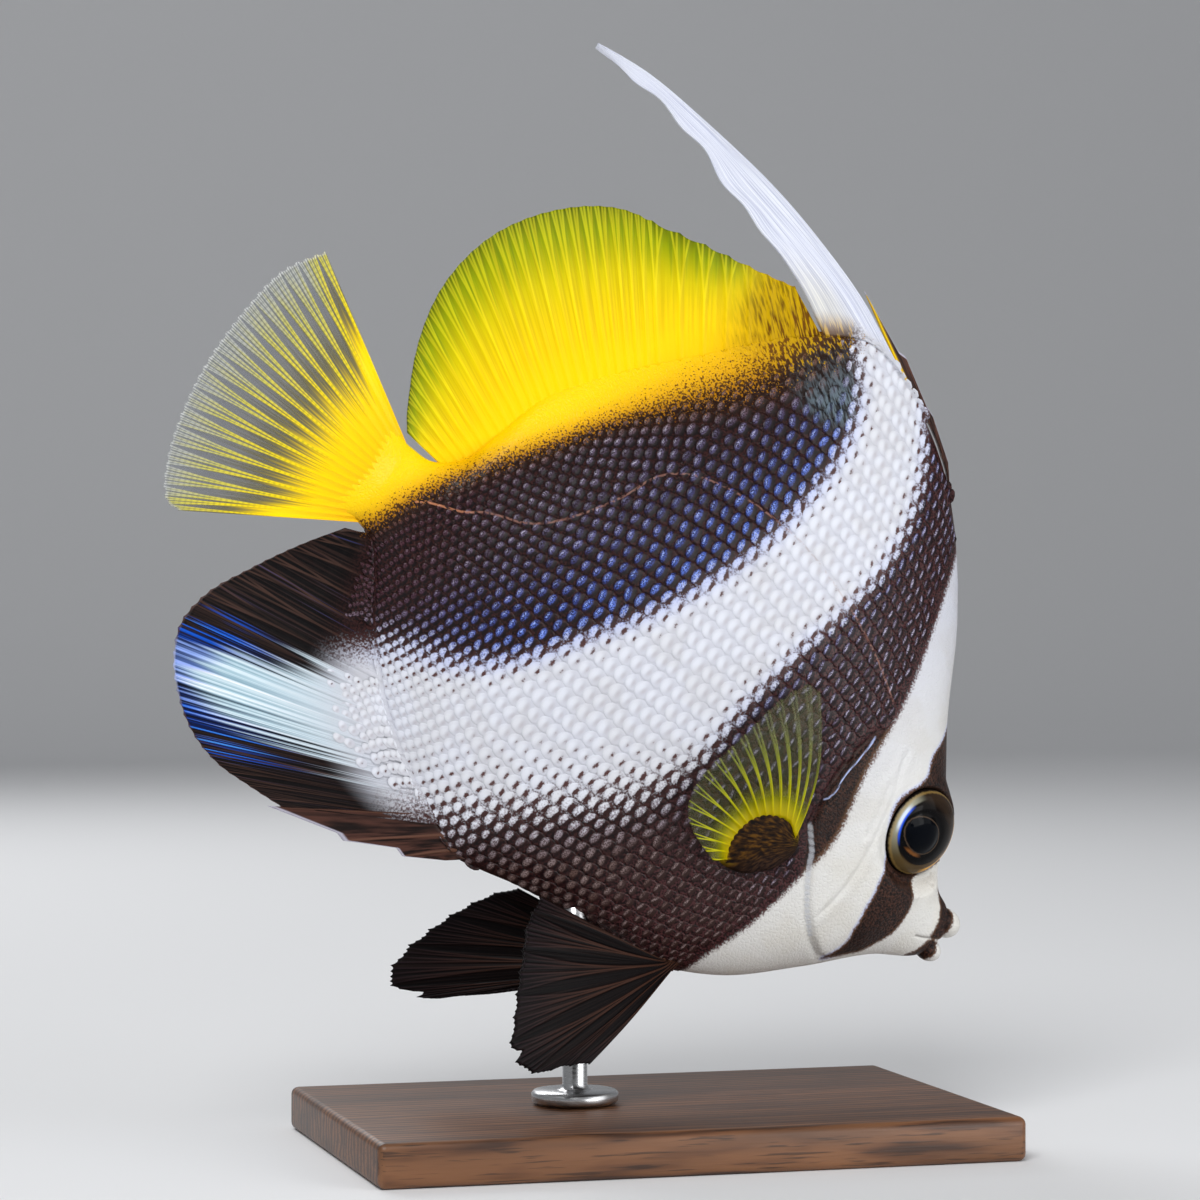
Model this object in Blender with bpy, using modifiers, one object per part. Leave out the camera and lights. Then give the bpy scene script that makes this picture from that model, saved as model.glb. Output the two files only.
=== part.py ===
# Masked bannerfish: a still, life-size display model, held nose down on a plain stand.
#
# Sizes are in millimetres and MM turns them into Blender's metres. The fish is modelled
# in a frame of its own: u runs from the snout to the tail, v up to the back, and w out
# to its left side. That frame is then pitched nose down and raised over the base, whose
# underside is the origin.

import math

import bmesh
import bpy
import numpy as np
from mathutils import Matrix, Vector

MM = 0.001
GAP = 0.3  # clearance between neighbouring pieces
THROUGH = 30.0  # half depth of a cutter that goes right through the fish

# Pose on the stand
PITCH = math.radians(36.7)
SNOUT_X = 53.5
SNOUT_Z = 34.7

# Stand
BASE_LENGTH = 104.0
BASE_WIDTH = 68.0
BASE_HEIGHT = 7.0
BASE_EDGE = 1.2
ROD_X = -12.2
ROD_RADIUS = 2.0
ROD_FOOT_RADIUS = 7.0
ROD_FOOT_HEIGHT = 2.0
ROD_DEPTH = 15.0  # how far the rod goes into the belly
BELLY_OVER_ROD = 36.9  # height of the belly's skin where the rod meets it

# Side view of the flesh, without lips and fins
BACK_POINTS = [
    (2.6, -4.2), (1.6, -1.6), (3.2, 0.9), (6.0, 2.4), (9.0, 6.2), (14.1, 14.8), (21.9, 26.4),
    (29.7, 40.2), (37.8, 50.7), (45.0, 57.7), (54.0, 63.4), (63.2, 66.9), (71.0, 67.6),
    (78.0, 63.6), (91.9, 48.6), (103.1, 35.0), (108.3, 26.5), (110.9, 17.5), (113.4, 10.0),
    (117.0, 7.2), (121.0, 7.0),
]
BELLY_POINTS = [
    (2.6, -4.2), (1.2, -6.2), (2.4, -8.4), (9.2, -13.3), (17.9, -21.9), (28.9, -31.4),
    (36.5, -35.2), (49.5, -36.7), (64.1, -39.0), (76.5, -41.0), (86.1, -37.4), (95.7, -32.2),
    (103.3, -26.2), (109.6, -19.1), (114.0, -12.6), (117.4, -9.0), (121.0, -8.1),
]

# Half thickness of the body, and how sharply it narrows to its edges, by the share of
# the way from snout to tail. A keel of 1 is round, and more is a sharper edge.
HALF_WIDTHS = [
    (0.0, 1.2), (0.03, 3.0), (0.08, 5.7), (0.13, 8.2), (0.20, 9.7), (0.28, 10.6), (0.40, 10.9),
    (0.52, 10.2), (0.64, 8.7), (0.76, 6.8), (0.88, 4.8), (0.95, 3.6), (1.0, 3.0),
]
BACK_KEELS = [(0.0, 0.9), (0.15, 1.0), (0.35, 1.5), (0.50, 1.9), (0.80, 1.8), (0.95, 1.2), (1.0, 1.0)]
BELLY_KEELS = [(0.0, 0.9), (0.20, 1.0), (0.50, 1.15), (0.65, 1.5), (0.85, 1.6), (0.95, 1.2), (1.0, 1.0)]
EDGE_HALF = 0.5  # half thickness along the back and belly lines
LEAST_HALF = 0.2  # the same where the skin is drawn in for a cutter
AROUND = 26
ALONG = 42
SNOUT_CROWDING = 1.25  # rows of faces are closer together at the snout

# Head
GILL_CENTRE = (7.0, 5.0)
GILL_RADIUS = 27.6
GILL_TOP = math.radians(21.0)
GILL_FOOT = math.radians(-64.0)
CHEEK_EDGE = [(18.6, -15.6), (22.0, -10.0), (23.4, -2.0), (24.4, 5.0), (26.4, 12.0)]
GILL_PROUD = 0.35
GILL_SINK = 1.3
GILL_INNER = 1.0  # a cover's cutter starts this far from the middle plane
EYE_CENTRE = (16.45, 7.1, 5.5)
EYE_RADII = (7.0, 7.0, 3.6)
EYE_TURN = math.radians(28.7)  # the eye faces this much forward
UPPER_LIP = ((2.0, -1.6), (2.7, 2.4, 2.7))
LOWER_LIP = ((1.8, -6.5), (2.4, 1.9, 2.3))
JAW_LINE = [(-4.0, -4.4), (2.4, -4.8), (6.9, -7.4), (8.9, -17.0), (-4.0, -17.0)]
NOSTRILS = [((8.3, 1.8), 0.55), ((9.5, 3.3), 0.45)]
NOSTRIL_DEPTH = 1.0

# The line that parts the trunk from the peduncle
TAIL_LINE_TOP = (112.9, 14.0)
TAIL_LINE_FOOT = (117.0, -14.0)
BEHIND_TAIL = 140.0

# Fins, as lines in the side view
FRONT_SPINES_BASE = ((45.8, 58.2), (62.6, 66.8))
FRONT_SPINE_TIPS = [
    (46.8, 60.1), (53.6, 64.6), (55.4, 65.2), (63.2, 69.5), (64.8, 69.4), (75.2, 73.7),
]
BANNER_BASE = ((63.6, 67.0), (77.6, 64.1))
BANNER_FRONT = [
    (64.0, 67.6), (75.2, 72.5), (91.2, 76.4), (103.4, 78.3), (114.7, 79.1), (125.1, 79.0), (135.1, 77.5),
]
BANNER_REAR = [
    (77.9, 65.2), (84.7, 68.2), (94.4, 70.6), (102.6, 72.4), (111.5, 75.2), (120.6, 76.4), (134.9, 76.9),
]
BANNER_SPINE = 0.9  # how much thicker the banner is along its front
BANNER_SPINE_SHARE = 0.35  # how far across that reaches
BANNER_SPINE_TAPER = 0.75
DORSAL_BASE = ((78.2, 63.5), (112.9, 11.2))
DORSAL_MARGIN = [
    (85.3, 66.9), (95.0, 64.4), (106.0, 61.7), (117.0, 58.3), (125.5, 50.6), (130.7, 41.0), (131.9, 31.1),
    (129.4, 20.5), (125.6, 13.0), (122.0, 9.3),
]
DORSAL_SPINES = 7
DORSAL_RAYS = 25
DORSAL_SPINY = 0.40  # share of the base that the spines stand on
DORSAL_CROWDING = 1.35  # ray tips are closer together at the front
CAUDAL_MARGIN = [
    (150.2, 23.3), (153.5, 17.5), (155.0, 8.0), (154.9, -2.0), (153.2, -11.0), (150.4, -18.8),
    (148.5, -22.1), (146.7, -23.7), (144.4, -23.7),
]
CAUDAL_BASE = ((121.0, 6.5), (121.0, -7.6))
CAUDAL_RAYS = 17
ANAL_SPINES_BASE = ((75.5, -41.0), (84.2, -38.5))
ANAL_SPINE_TIPS = [
    (77.0, -42.6), (83.0, -46.1), (84.6, -45.6), (92.3, -49.7), (93.8, -49.3), (105.4, -52.4),
]
ANAL_BASE = ((85.2, -38.0), (116.6, -9.8))
ANAL_MARGIN = [
    (101.8, -48.8), (109.0, -51.0), (116.0, -51.7), (121.1, -50.5), (127.9, -46.3), (131.2, -42.9),
    (133.8, -37.4), (133.5, -32.5), (129.9, -24.0), (124.8, -14.9), (121.4, -10.6),
]
ANAL_RAYS = 18

# Three spines side by side: where their tips' line turns, and where their columns stand,
# by the share of their base
SPINE_TURNS = [0.0, 0.25, 0.34, 0.58, 0.67, 1.0]
SPINE_COLUMNS = [0.0, 0.125, 0.25, 0.34, 0.46, 0.58, 0.67, 0.835, 1.0]

# Paired fins, for one side; the ray tips are (u, v, w)
PECTORAL_ROOT = ((36.8, -7.4), (41.6, -14.0))
PECTORAL_TIPS = [
    (46.6, 13.6, 15.0), (49.0, 13.3, 15.6), (51.6, 8.2, 16.0), (52.6, 3.0, 16.2), (53.9, -3.5, 16.2),
    (54.7, -7.9, 16.0), (54.5, -11.6, 15.6), (51.1, -16.3, 14.6), (48.2, -17.4, 14.0), (44.4, -18.2, 12.8),
]
PECTORAL_RAYS = 14
PECTORAL_BOW = 0.9
PECTORAL_PAD_CENTRE = (38.8, -10.8)
PECTORAL_PAD = (5.0, 6.2, 1.8)
PECTORAL_PAD_SUNK = 0.4  # the pad's middle lies this far under the skin
PECTORAL_LIFT = 1.0  # the blade's root stands this far over the skin
PELVIC_ROOT = (37.6, -34.6, 2.3)
PELVIC_ROOT_HALF = 1.0  # half the length of the line that the rays start from
PELVIC_ROOT_SHIFT = (-0.6, 0.5)  # that line lies this far down and out from the pad's middle
PELVIC_RAYS = 7
PELVIC_BOW = 1.2
PELVIC_PAD = (2.4, 1.7, 1.6)
RIGHT_PELVIC_TIPS = [
    (42.1, -55.9, 13.5), (45.9, -58.9, 15.0), (50.0, -62.6, 17.0), (54.0, -62.8, 18.0),
    (57.8, -57.0, 17.0), (61.3, -49.3, 14.5), (63.2, -44.0, 11.5), (63.0, -38.9, 8.0),
]
LEFT_PELVIC_TIPS = [
    (52.3, -51.8, 10.5), (58.4, -57.5, 12.5), (64.8, -62.3, 14.0), (70.0, -62.6, 14.5),
    (70.8, -57.6, 14.0), (70.0, -53.6, 13.0), (67.8, -46.6, 11.0), (64.6, -40.6, 8.5), (62.8, -38.6, 7.0),
]

# Thickness of a fin: the membrane between rays, the ridge that a ray adds at its root and
# how much of it is gone at the margin
MEMBRANE = 0.6
RAY_RIDGE = 0.5
RAY_TAPER = 0.6

# The fleshy swelling of a fin's root: how thick, and the share of the rays that it reaches
FRONT_SPINES_SWELL = (0.3, 0.6)
BANNER_SWELL = (0.5, 0.2)
DORSAL_SWELL = (0.4, 0.3)
CAUDAL_SWELL = (4.2, 0.35)
ANAL_SPINES_SWELL = (0.4, 0.5)
ANAL_SWELL = (0.5, 0.3)
PECTORAL_SWELL = (0.4, 0.3)
PELVIC_SWELL = (1.0, 0.4)

# Faces round and along a rounded piece
BALL_FACES = (20, 12)
SOCKET_FACES = (22, 12)
PAD_FACES = (18, 10)
SMALL_PAD_FACES = (14, 8)
PIT_FACES = (8, 5)
TURNED_STEPS = 24
BORE_BELOW = 8.0  # the bore's cutter starts this far under the belly


class Curve:
    # A smooth curve through the values given at rising places

    def __init__(self, places, values):
        self.places = np.array(places, float)
        self.values = np.array(values, float).reshape(len(self.places), -1)
        steps = np.diff(self.places)[:, None]
        rises = np.diff(self.values, axis=0) / steps
        inner = (rises[:-1] * steps[1:] + rises[1:] * steps[:-1]) / (steps[:-1] + steps[1:])
        self.slopes = np.vstack([rises[:1], inner, rises[-1:]])

    def at(self, place):
        place = min(max(place, self.places[0]), self.places[-1])
        i = min(int(np.searchsorted(self.places, place, side="right")) - 1, len(self.places) - 2)
        step = self.places[i + 1] - self.places[i]
        t = (place - self.places[i]) / step
        start = self.values[i] * (1 + 2 * t) * (1 - t) ** 2 + self.slopes[i] * step * t * (1 - t) ** 2
        end = self.values[i + 1] * (3 - 2 * t) * t * t + self.slopes[i + 1] * step * t * t * (t - 1)
        return start + end

    def nearest_place(self, point, samples=2000):
        places = np.linspace(self.places[0], self.places[-1], samples)
        away = [np.linalg.norm(self.at(place) - point) for place in places]
        return float(places[int(np.argmin(away))])


def outline(points):
    # A smooth line through the points, read by the share of its length from 0 to 1
    points = np.array(points, float)
    lengths = np.linalg.norm(np.diff(points, axis=0), axis=1)
    reach = np.concatenate([[0.0], np.cumsum(lengths)])
    return Curve(reach / reach[-1], points)


def levels(pairs):
    # A smooth curve of single values, given as (place, value) pairs
    places, values = zip(*pairs)
    return Curve(places, values)


BACK = outline(BACK_POINTS)
BELLY = outline(BELLY_POINTS)
HALF_WIDTH = levels(HALF_WIDTHS)
BACK_KEEL = levels(BACK_KEELS)
BELLY_KEEL = levels(BELLY_KEELS)


def skin_point(share, turn, grow=0.0):
    # A point of the body's skin. share runs from 0 at the snout to 1 at the tail, and
    # turn is the angle round the body: 0 on the left side and 90 degrees at the back.
    top = BACK.at(share)
    bottom = BELLY.at(share)
    u, v = (top + bottom) / 2 + (top - bottom) / 2 * math.sin(turn)
    keel = (BACK_KEEL if turn > 0 else BELLY_KEEL).at(share)[0]
    bulge = (HALF_WIDTH.at(share)[0] - EDGE_HALF) * abs(math.cos(turn)) ** keel
    half = max(EDGE_HALF + bulge + grow, LEAST_HALF)
    return (u, v, math.copysign(half, math.cos(turn)))


def half_width_at(u, v):
    # Half the body's thickness at a point of the side view
    low, high = 0.0, 1.0
    for _ in range(40):
        share = (low + high) / 2
        top = BACK.at(share)
        bottom = BELLY.at(share)
        behind = (top[1] - bottom[1]) * (u - bottom[0]) - (top[0] - bottom[0]) * (v - bottom[1])
        if behind > 0:
            low = share
        else:
            high = share
    half_height = (top - bottom) / 2
    rise = np.dot(np.array([u, v]) - (top + bottom) / 2, half_height) / np.dot(half_height, half_height)
    return abs(skin_point(share, math.asin(max(-1.0, min(1.0, rise))))[2])


def edge_line(edge, base, side):
    # The root line of a fin along the back or belly: a function from 0 at the front of
    # its base to 1 at the rear, which keeps the gap to the body's edge
    front, rear = (edge.nearest_place(point) for point in base)

    def root(across):
        place = front + (rear - front) * across
        step = 0.002
        ahead = edge.at(place + step) - edge.at(place - step)
        outward = np.array([-ahead[1], ahead[0]]) * side / np.linalg.norm(ahead)
        return edge.at(place) + outward * GAP

    return root


def new_object(name, mesh, holder, collection, material=None):
    piece = bpy.data.objects.new(name, mesh)
    collection.objects.link(piece)
    piece.parent = holder
    if material:
        mesh.materials.append(material)
    return piece


def finish(name, color, roughness, metallic=0.0):
    material = bpy.data.materials.new(name)
    material.use_nodes = True
    shader = material.node_tree.nodes["Principled BSDF"]
    shader.inputs["Base Color"].default_value = (*color, 1.0)
    shader.inputs["Roughness"].default_value = roughness
    shader.inputs["Metallic"].default_value = metallic
    return material


def mesh_from(bm, name, smooth=True):
    mesh = bpy.data.meshes.new(name)
    bm.to_mesh(mesh)
    bm.free()
    if smooth:
        mesh.shade_smooth()
    return mesh


def body_mesh(name, grow=0.0):
    # A sphere whose poles are drawn out to the mouth and the flat end of the tail
    bm = bmesh.new()
    bmesh.ops.create_uvsphere(bm, u_segments=AROUND, v_segments=ALONG, radius=1.0)
    for vert in bm.verts:
        row = round(math.acos(max(-1.0, min(1.0, vert.co.z))) / math.pi * ALONG)
        share = min(row / (ALONG - 1), 1.0) ** SNOUT_CROWDING
        if row == ALONG:
            u, v = (BACK.at(1.0) + BELLY.at(1.0)) / 2
            vert.co = Vector((u, v, 0.0)) * MM
        elif row == 0:
            vert.co = Vector((*BACK.at(0.0), 0.0)) * MM
        else:
            vert.co = Vector(skin_point(share, math.atan2(vert.co.y, vert.co.x), grow)) * MM
    bmesh.ops.triangulate(bm, faces=bm.faces)
    return mesh_from(bm, name)


def prism_mesh(name, loop, low, high):
    # A flat outline in the side view, drawn out sideways from w = low to w = high
    bm = bmesh.new()
    for u, v in loop:
        bm.verts.new(Vector((u, v, low)) * MM)
    bmesh.ops.contextual_create(bm, geom=bm.verts[:])
    raised = bmesh.ops.extrude_face_region(bm, geom=bm.faces[:])["geom"]
    moved = [item for item in raised if isinstance(item, bmesh.types.BMVert)]
    bmesh.ops.translate(bm, verts=moved, vec=Vector((0.0, 0.0, high - low)) * MM)
    bmesh.ops.recalc_face_normals(bm, faces=bm.faces)
    return mesh_from(bm, name, smooth=False)


def ball_mesh(name, centre, radii, turn=None, faces=BALL_FACES):
    # An ellipsoid at a place in the fish's frame
    bm = bmesh.new()
    bmesh.ops.create_uvsphere(bm, u_segments=faces[0], v_segments=faces[1], radius=1.0)
    place = Matrix.Translation(Vector(centre) * MM)
    size = Matrix.Diagonal((*(radius * MM for radius in radii), 1.0))
    bmesh.ops.transform(bm, matrix=place @ (turn or Matrix.Identity(4)) @ size, verts=bm.verts)
    bmesh.ops.triangulate(bm, faces=bm.faces)
    return mesh_from(bm, name)


def grown(radii, by):
    return tuple(radius + by for radius in radii)


def cut(piece, cutter, operation="DIFFERENCE", solver="EXACT"):
    boolean = piece.modifiers.new(f"{operation.lower()}_{cutter.name}", "BOOLEAN")
    boolean.operation = operation
    boolean.solver = solver
    boolean.object = cutter


class Workshop:
    # The collections, the posed frame of the fish, and the ways to add a piece to them

    def __init__(self):
        self.parts = bpy.data.collections.new("masked_bannerfish")
        self.cutters = bpy.data.collections.new("cutters")
        for collection in (self.parts, self.cutters):
            bpy.context.scene.collection.children.link(collection)
        self.fish = bpy.data.objects.new("fish_pose", None)
        self.parts.objects.link(self.fish)
        sine, cosine = math.sin(PITCH), math.cos(PITCH)
        self.fish.matrix_world = Matrix((
            (-cosine, sine, 0.0, SNOUT_X * MM),
            (0.0, 0.0, 1.0, 0.0),
            (sine, cosine, 0.0, SNOUT_Z * MM),
            (0.0, 0.0, 0.0, 1.0),
        ))

    def part(self, name, mesh, material):
        return new_object(name, mesh, self.fish, self.parts, material)

    def cutter(self, name, mesh, holder="fish"):
        piece = new_object(name, mesh, self.fish if holder == "fish" else None, self.cutters)
        piece.hide_render = True
        piece.display_type = "WIRE"
        return piece


def mirrored(centre, side):
    # side is 1 for the fish's left and -1 for its right
    return (centre[0], centre[1], centre[2] * side)


def eye_turn(side):
    # Turns an eye from straight out to partly forward
    return Matrix.Rotation(-EYE_TURN * side, 4, "Y")


def grown_loop(loop, by):
    # The same outline, moved outward all round
    points = [np.array(point, float) for point in loop]
    following = points[1:] + points[:1]
    turning = sum(a[0] * b[1] - a[1] * b[0] for a, b in zip(points, following))
    result = []
    for before, point, after in zip(points[-1:] + points[:-1], points, following):
        sides = []
        for run in (point - before, after - point):
            sides.append(np.array([run[1], -run[0]]) / np.linalg.norm(run) * math.copysign(1.0, turning))
        outward = sides[0] + sides[1]
        result.append(tuple(point + outward * 2 * by / np.dot(outward, outward)))
    return result


def gill_loop():
    # The outline of a gill cover: its free rear edge, and its line on the cheek
    steps = 14
    radius = GILL_RADIUS - GAP / 2
    loop = []
    for i in range(steps + 1):
        angle = GILL_FOOT + (GILL_TOP - GILL_FOOT) * i / steps
        loop.append((GILL_CENTRE[0] + radius * math.cos(angle), GILL_CENTRE[1] + radius * math.sin(angle)))
    return loop + CHEEK_EDGE[::-1]


def add_head(shop, skin):
    # The head ends at the gill arc. The jaw, the gill covers and the eyes are seated in it.
    white = finish("cheek_skin", (0.80, 0.80, 0.78), 0.45)
    head = shop.part("head", skin.copy(), white)
    cut(head, shop.cutter("upper_lip", ball_mesh("upper_lip", (*UPPER_LIP[0], 0.0), UPPER_LIP[1])), "UNION")
    reach = prism_mesh("head_reach", gill_disc(GILL_RADIUS - GAP / 2), -THROUGH, THROUGH)
    cut(head, shop.cutter("head_reach", reach), "INTERSECT")
    jaw_seat = prism_mesh("jaw_seat", grown_loop(JAW_LINE, GAP), -THROUGH, THROUGH)
    cut(head, shop.cutter("jaw_seat", jaw_seat))

    jaw = shop.part("lower_jaw", skin.copy(), finish("jaw_skin", (0.72, 0.70, 0.68), 0.4))
    cut(jaw, shop.cutter("lower_lip", ball_mesh("lower_lip", (*LOWER_LIP[0], 0.0), LOWER_LIP[1])), "UNION")
    jaw_reach = prism_mesh("jaw_reach", JAW_LINE, -THROUGH, THROUGH)
    cut(jaw, shop.cutter("jaw_reach", jaw_reach), "INTERSECT")

    under_cover = shop.cutter("under_gill_covers", body_mesh("under_gill_covers", -GILL_SINK))
    under_seat = shop.cutter("under_gill_seats", body_mesh("under_gill_seats", -GILL_SINK - GAP))
    black = finish("eye_black", (0.01, 0.012, 0.03), 0.08)
    for side, word in ((1, "left"), (-1, "right")):
        low, high = sorted((GILL_INNER * side, THROUGH * side))
        cover = shop.part(f"gill_cover_{word}", body_mesh(f"gill_cover_{word}", GILL_PROUD), white)
        reach = prism_mesh(f"gill_reach_{word}", gill_loop(), low, high)
        cut(cover, shop.cutter(f"gill_reach_{word}", reach), "INTERSECT")
        cut(cover, under_cover)
        seat_mesh = prism_mesh(f"gill_seat_{word}", grown_loop(gill_loop(), GAP), low, high)
        seat = shop.cutter(f"gill_seat_{word}", seat_mesh)
        cut(seat, under_seat)
        cut(head, seat)

        centre = mirrored(EYE_CENTRE, side)
        shop.part(f"eye_{word}", ball_mesh(f"eye_{word}", centre, EYE_RADII, eye_turn(side)), black)
        name = f"eye_socket_{word}"
        socket = ball_mesh(name, centre, grown(EYE_RADII, GAP), eye_turn(side), SOCKET_FACES)
        cut(head, shop.cutter(name, socket))
        for i, ((u, v), radius) in enumerate(NOSTRILS):
            pit_centre = (u, v, half_width_at(u, v) * side)
            name = f"nostril_{word}_{i}"
            pit = ball_mesh(name, pit_centre, (radius, radius, NOSTRIL_DEPTH), faces=PIT_FACES)
            cut(head, shop.cutter(name, pit))


def gill_disc(radius, steps=60):
    # The circle that the gill opening follows
    turns = [2 * math.pi * i / steps for i in range(steps)]
    return [(GILL_CENTRE[0] + radius * math.cos(a), GILL_CENTRE[1] + radius * math.sin(a)) for a in turns]


def tail_cut(shift):
    # The region behind the line that parts the trunk from the peduncle
    top_u, top_v = TAIL_LINE_TOP
    foot_u, foot_v = TAIL_LINE_FOOT
    return [(foot_u + shift, foot_v), (BEHIND_TAIL, foot_v), (BEHIND_TAIL, top_v), (top_u + shift, top_v)]


def add_trunk(shop, skin):
    trunk = shop.part("trunk", skin.copy(), finish("flank_scales", (0.10, 0.045, 0.04), 0.4))
    opening = prism_mesh("gill_opening", gill_disc(GILL_RADIUS + GAP / 2), -THROUGH, THROUGH)
    cut(trunk, shop.cutter("gill_opening", opening))
    end = prism_mesh("trunk_end", tail_cut(-GAP / 2), -THROUGH, THROUGH)
    cut(trunk, shop.cutter("trunk_end", end))

    peduncle = shop.part("tail_peduncle", skin.copy(), finish("peduncle_scales", (0.86, 0.66, 0.03), 0.4))
    reach = prism_mesh("peduncle_reach", tail_cut(GAP / 2), -THROUGH, THROUGH)
    cut(peduncle, shop.cutter("peduncle_reach", reach), "INTERSECT")

    for side, word in ((1, "left"), (-1, "right")):
        seats = (
            (f"pectoral_seat_{word}", pectoral_pad_centre(side), PECTORAL_PAD, PAD_FACES),
            (f"pelvic_seat_{word}", mirrored(PELVIC_ROOT, side), PELVIC_PAD, SMALL_PAD_FACES),
        )
        for name, centre, pad, faces in seats:
            cut(trunk, shop.cutter(name, ball_mesh(name, centre, grown(pad, GAP), faces=faces)))

    bore = bmesh.new()
    bore_top = BELLY_OVER_ROD + ROD_DEPTH + GAP
    bore_foot = BELLY_OVER_ROD - BORE_BELOW
    bmesh.ops.create_cone(
        bore, cap_ends=True, segments=TURNED_STEPS, depth=(bore_top - bore_foot) * MM,
        radius1=(ROD_RADIUS + GAP) * MM, radius2=(ROD_RADIUS + GAP) * MM,
        matrix=Matrix.Translation(Vector((ROD_X, 0.0, (bore_top + bore_foot) / 2)) * MM),
    )
    cut(trunk, shop.cutter("rod_bore", mesh_from(bore, "rod_bore"), holder="world"))


def fin_object(shop, name, material, point_at, thick_at, places, rows, notch=0.0):
    # A fin as one sheet with its rays as ridges. point_at(across, out) gives its middle
    # surface, from 0 at the front ray to 1 at the rear one and from 0 at the root to 1
    # at the margin. places holds each ray's across, and thick_at(across, out, ridge)
    # the thickness, where ridge is 1 on a ray and 0 midway between two.
    columns = 2 * (len(places) - 1)
    bm = bmesh.new()
    bmesh.ops.create_grid(bm, x_segments=columns, y_segments=rows, size=0.5)
    thicknesses = {}
    for vert in bm.verts:
        column = round((vert.co.x + 0.5) * columns)
        out = vert.co.y + 0.5
        ray = column // 2
        on_ray = column % 2 == 0
        across = places[ray] if on_ray else (places[ray] + places[ray + 1]) / 2
        cut_back = 1.0 if on_ray else 1.0 - notch
        point = point_at(across, out * cut_back)
        thicknesses[vert.index] = thick_at(across, out, 1.0 if on_ray else 0.0)
        vert.co = Vector(point if len(point) == 3 else (*point, 0.0)) * MM
    bmesh.ops.triangulate(bm, faces=bm.faces)
    fin = shop.part(name, mesh_from(bm, name), material)

    thin, thick = min(thicknesses.values()), max(thicknesses.values())
    group = fin.vertex_groups.new(name="thickness")
    for index, value in thicknesses.items():
        group.add([index], (value - thin) / (thick - thin), "REPLACE")
    wall = fin.modifiers.new("wall", "SOLIDIFY")
    wall.thickness = thick * MM
    wall.offset = 0.0
    wall.vertex_group = group.name
    wall.thickness_vertex_group = thin / thick
    return fin


def ray_thickness(swell):
    # Rays are ridges that thin out to the margin, over a root that swells
    extra, reach = swell

    def thickness(across, out, ridge):
        flesh = max(0.0, 1.0 - out / reach) ** 2 * extra
        return MEMBRANE + RAY_RIDGE * ridge * (1.0 - RAY_TAPER * out) + flesh
    return thickness


def even_places(count):
    return [i / (count - 1) for i in range(count)]


def between(start, end, share):
    return np.array(start) + (np.array(end) - np.array(start)) * share


def stepped(points):
    # A line of straight steps, for three spines that each have a notch behind them
    columns = np.array(points).T

    def at(across):
        return np.array([np.interp(across, SPINE_TURNS, column) for column in columns])
    return at


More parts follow.
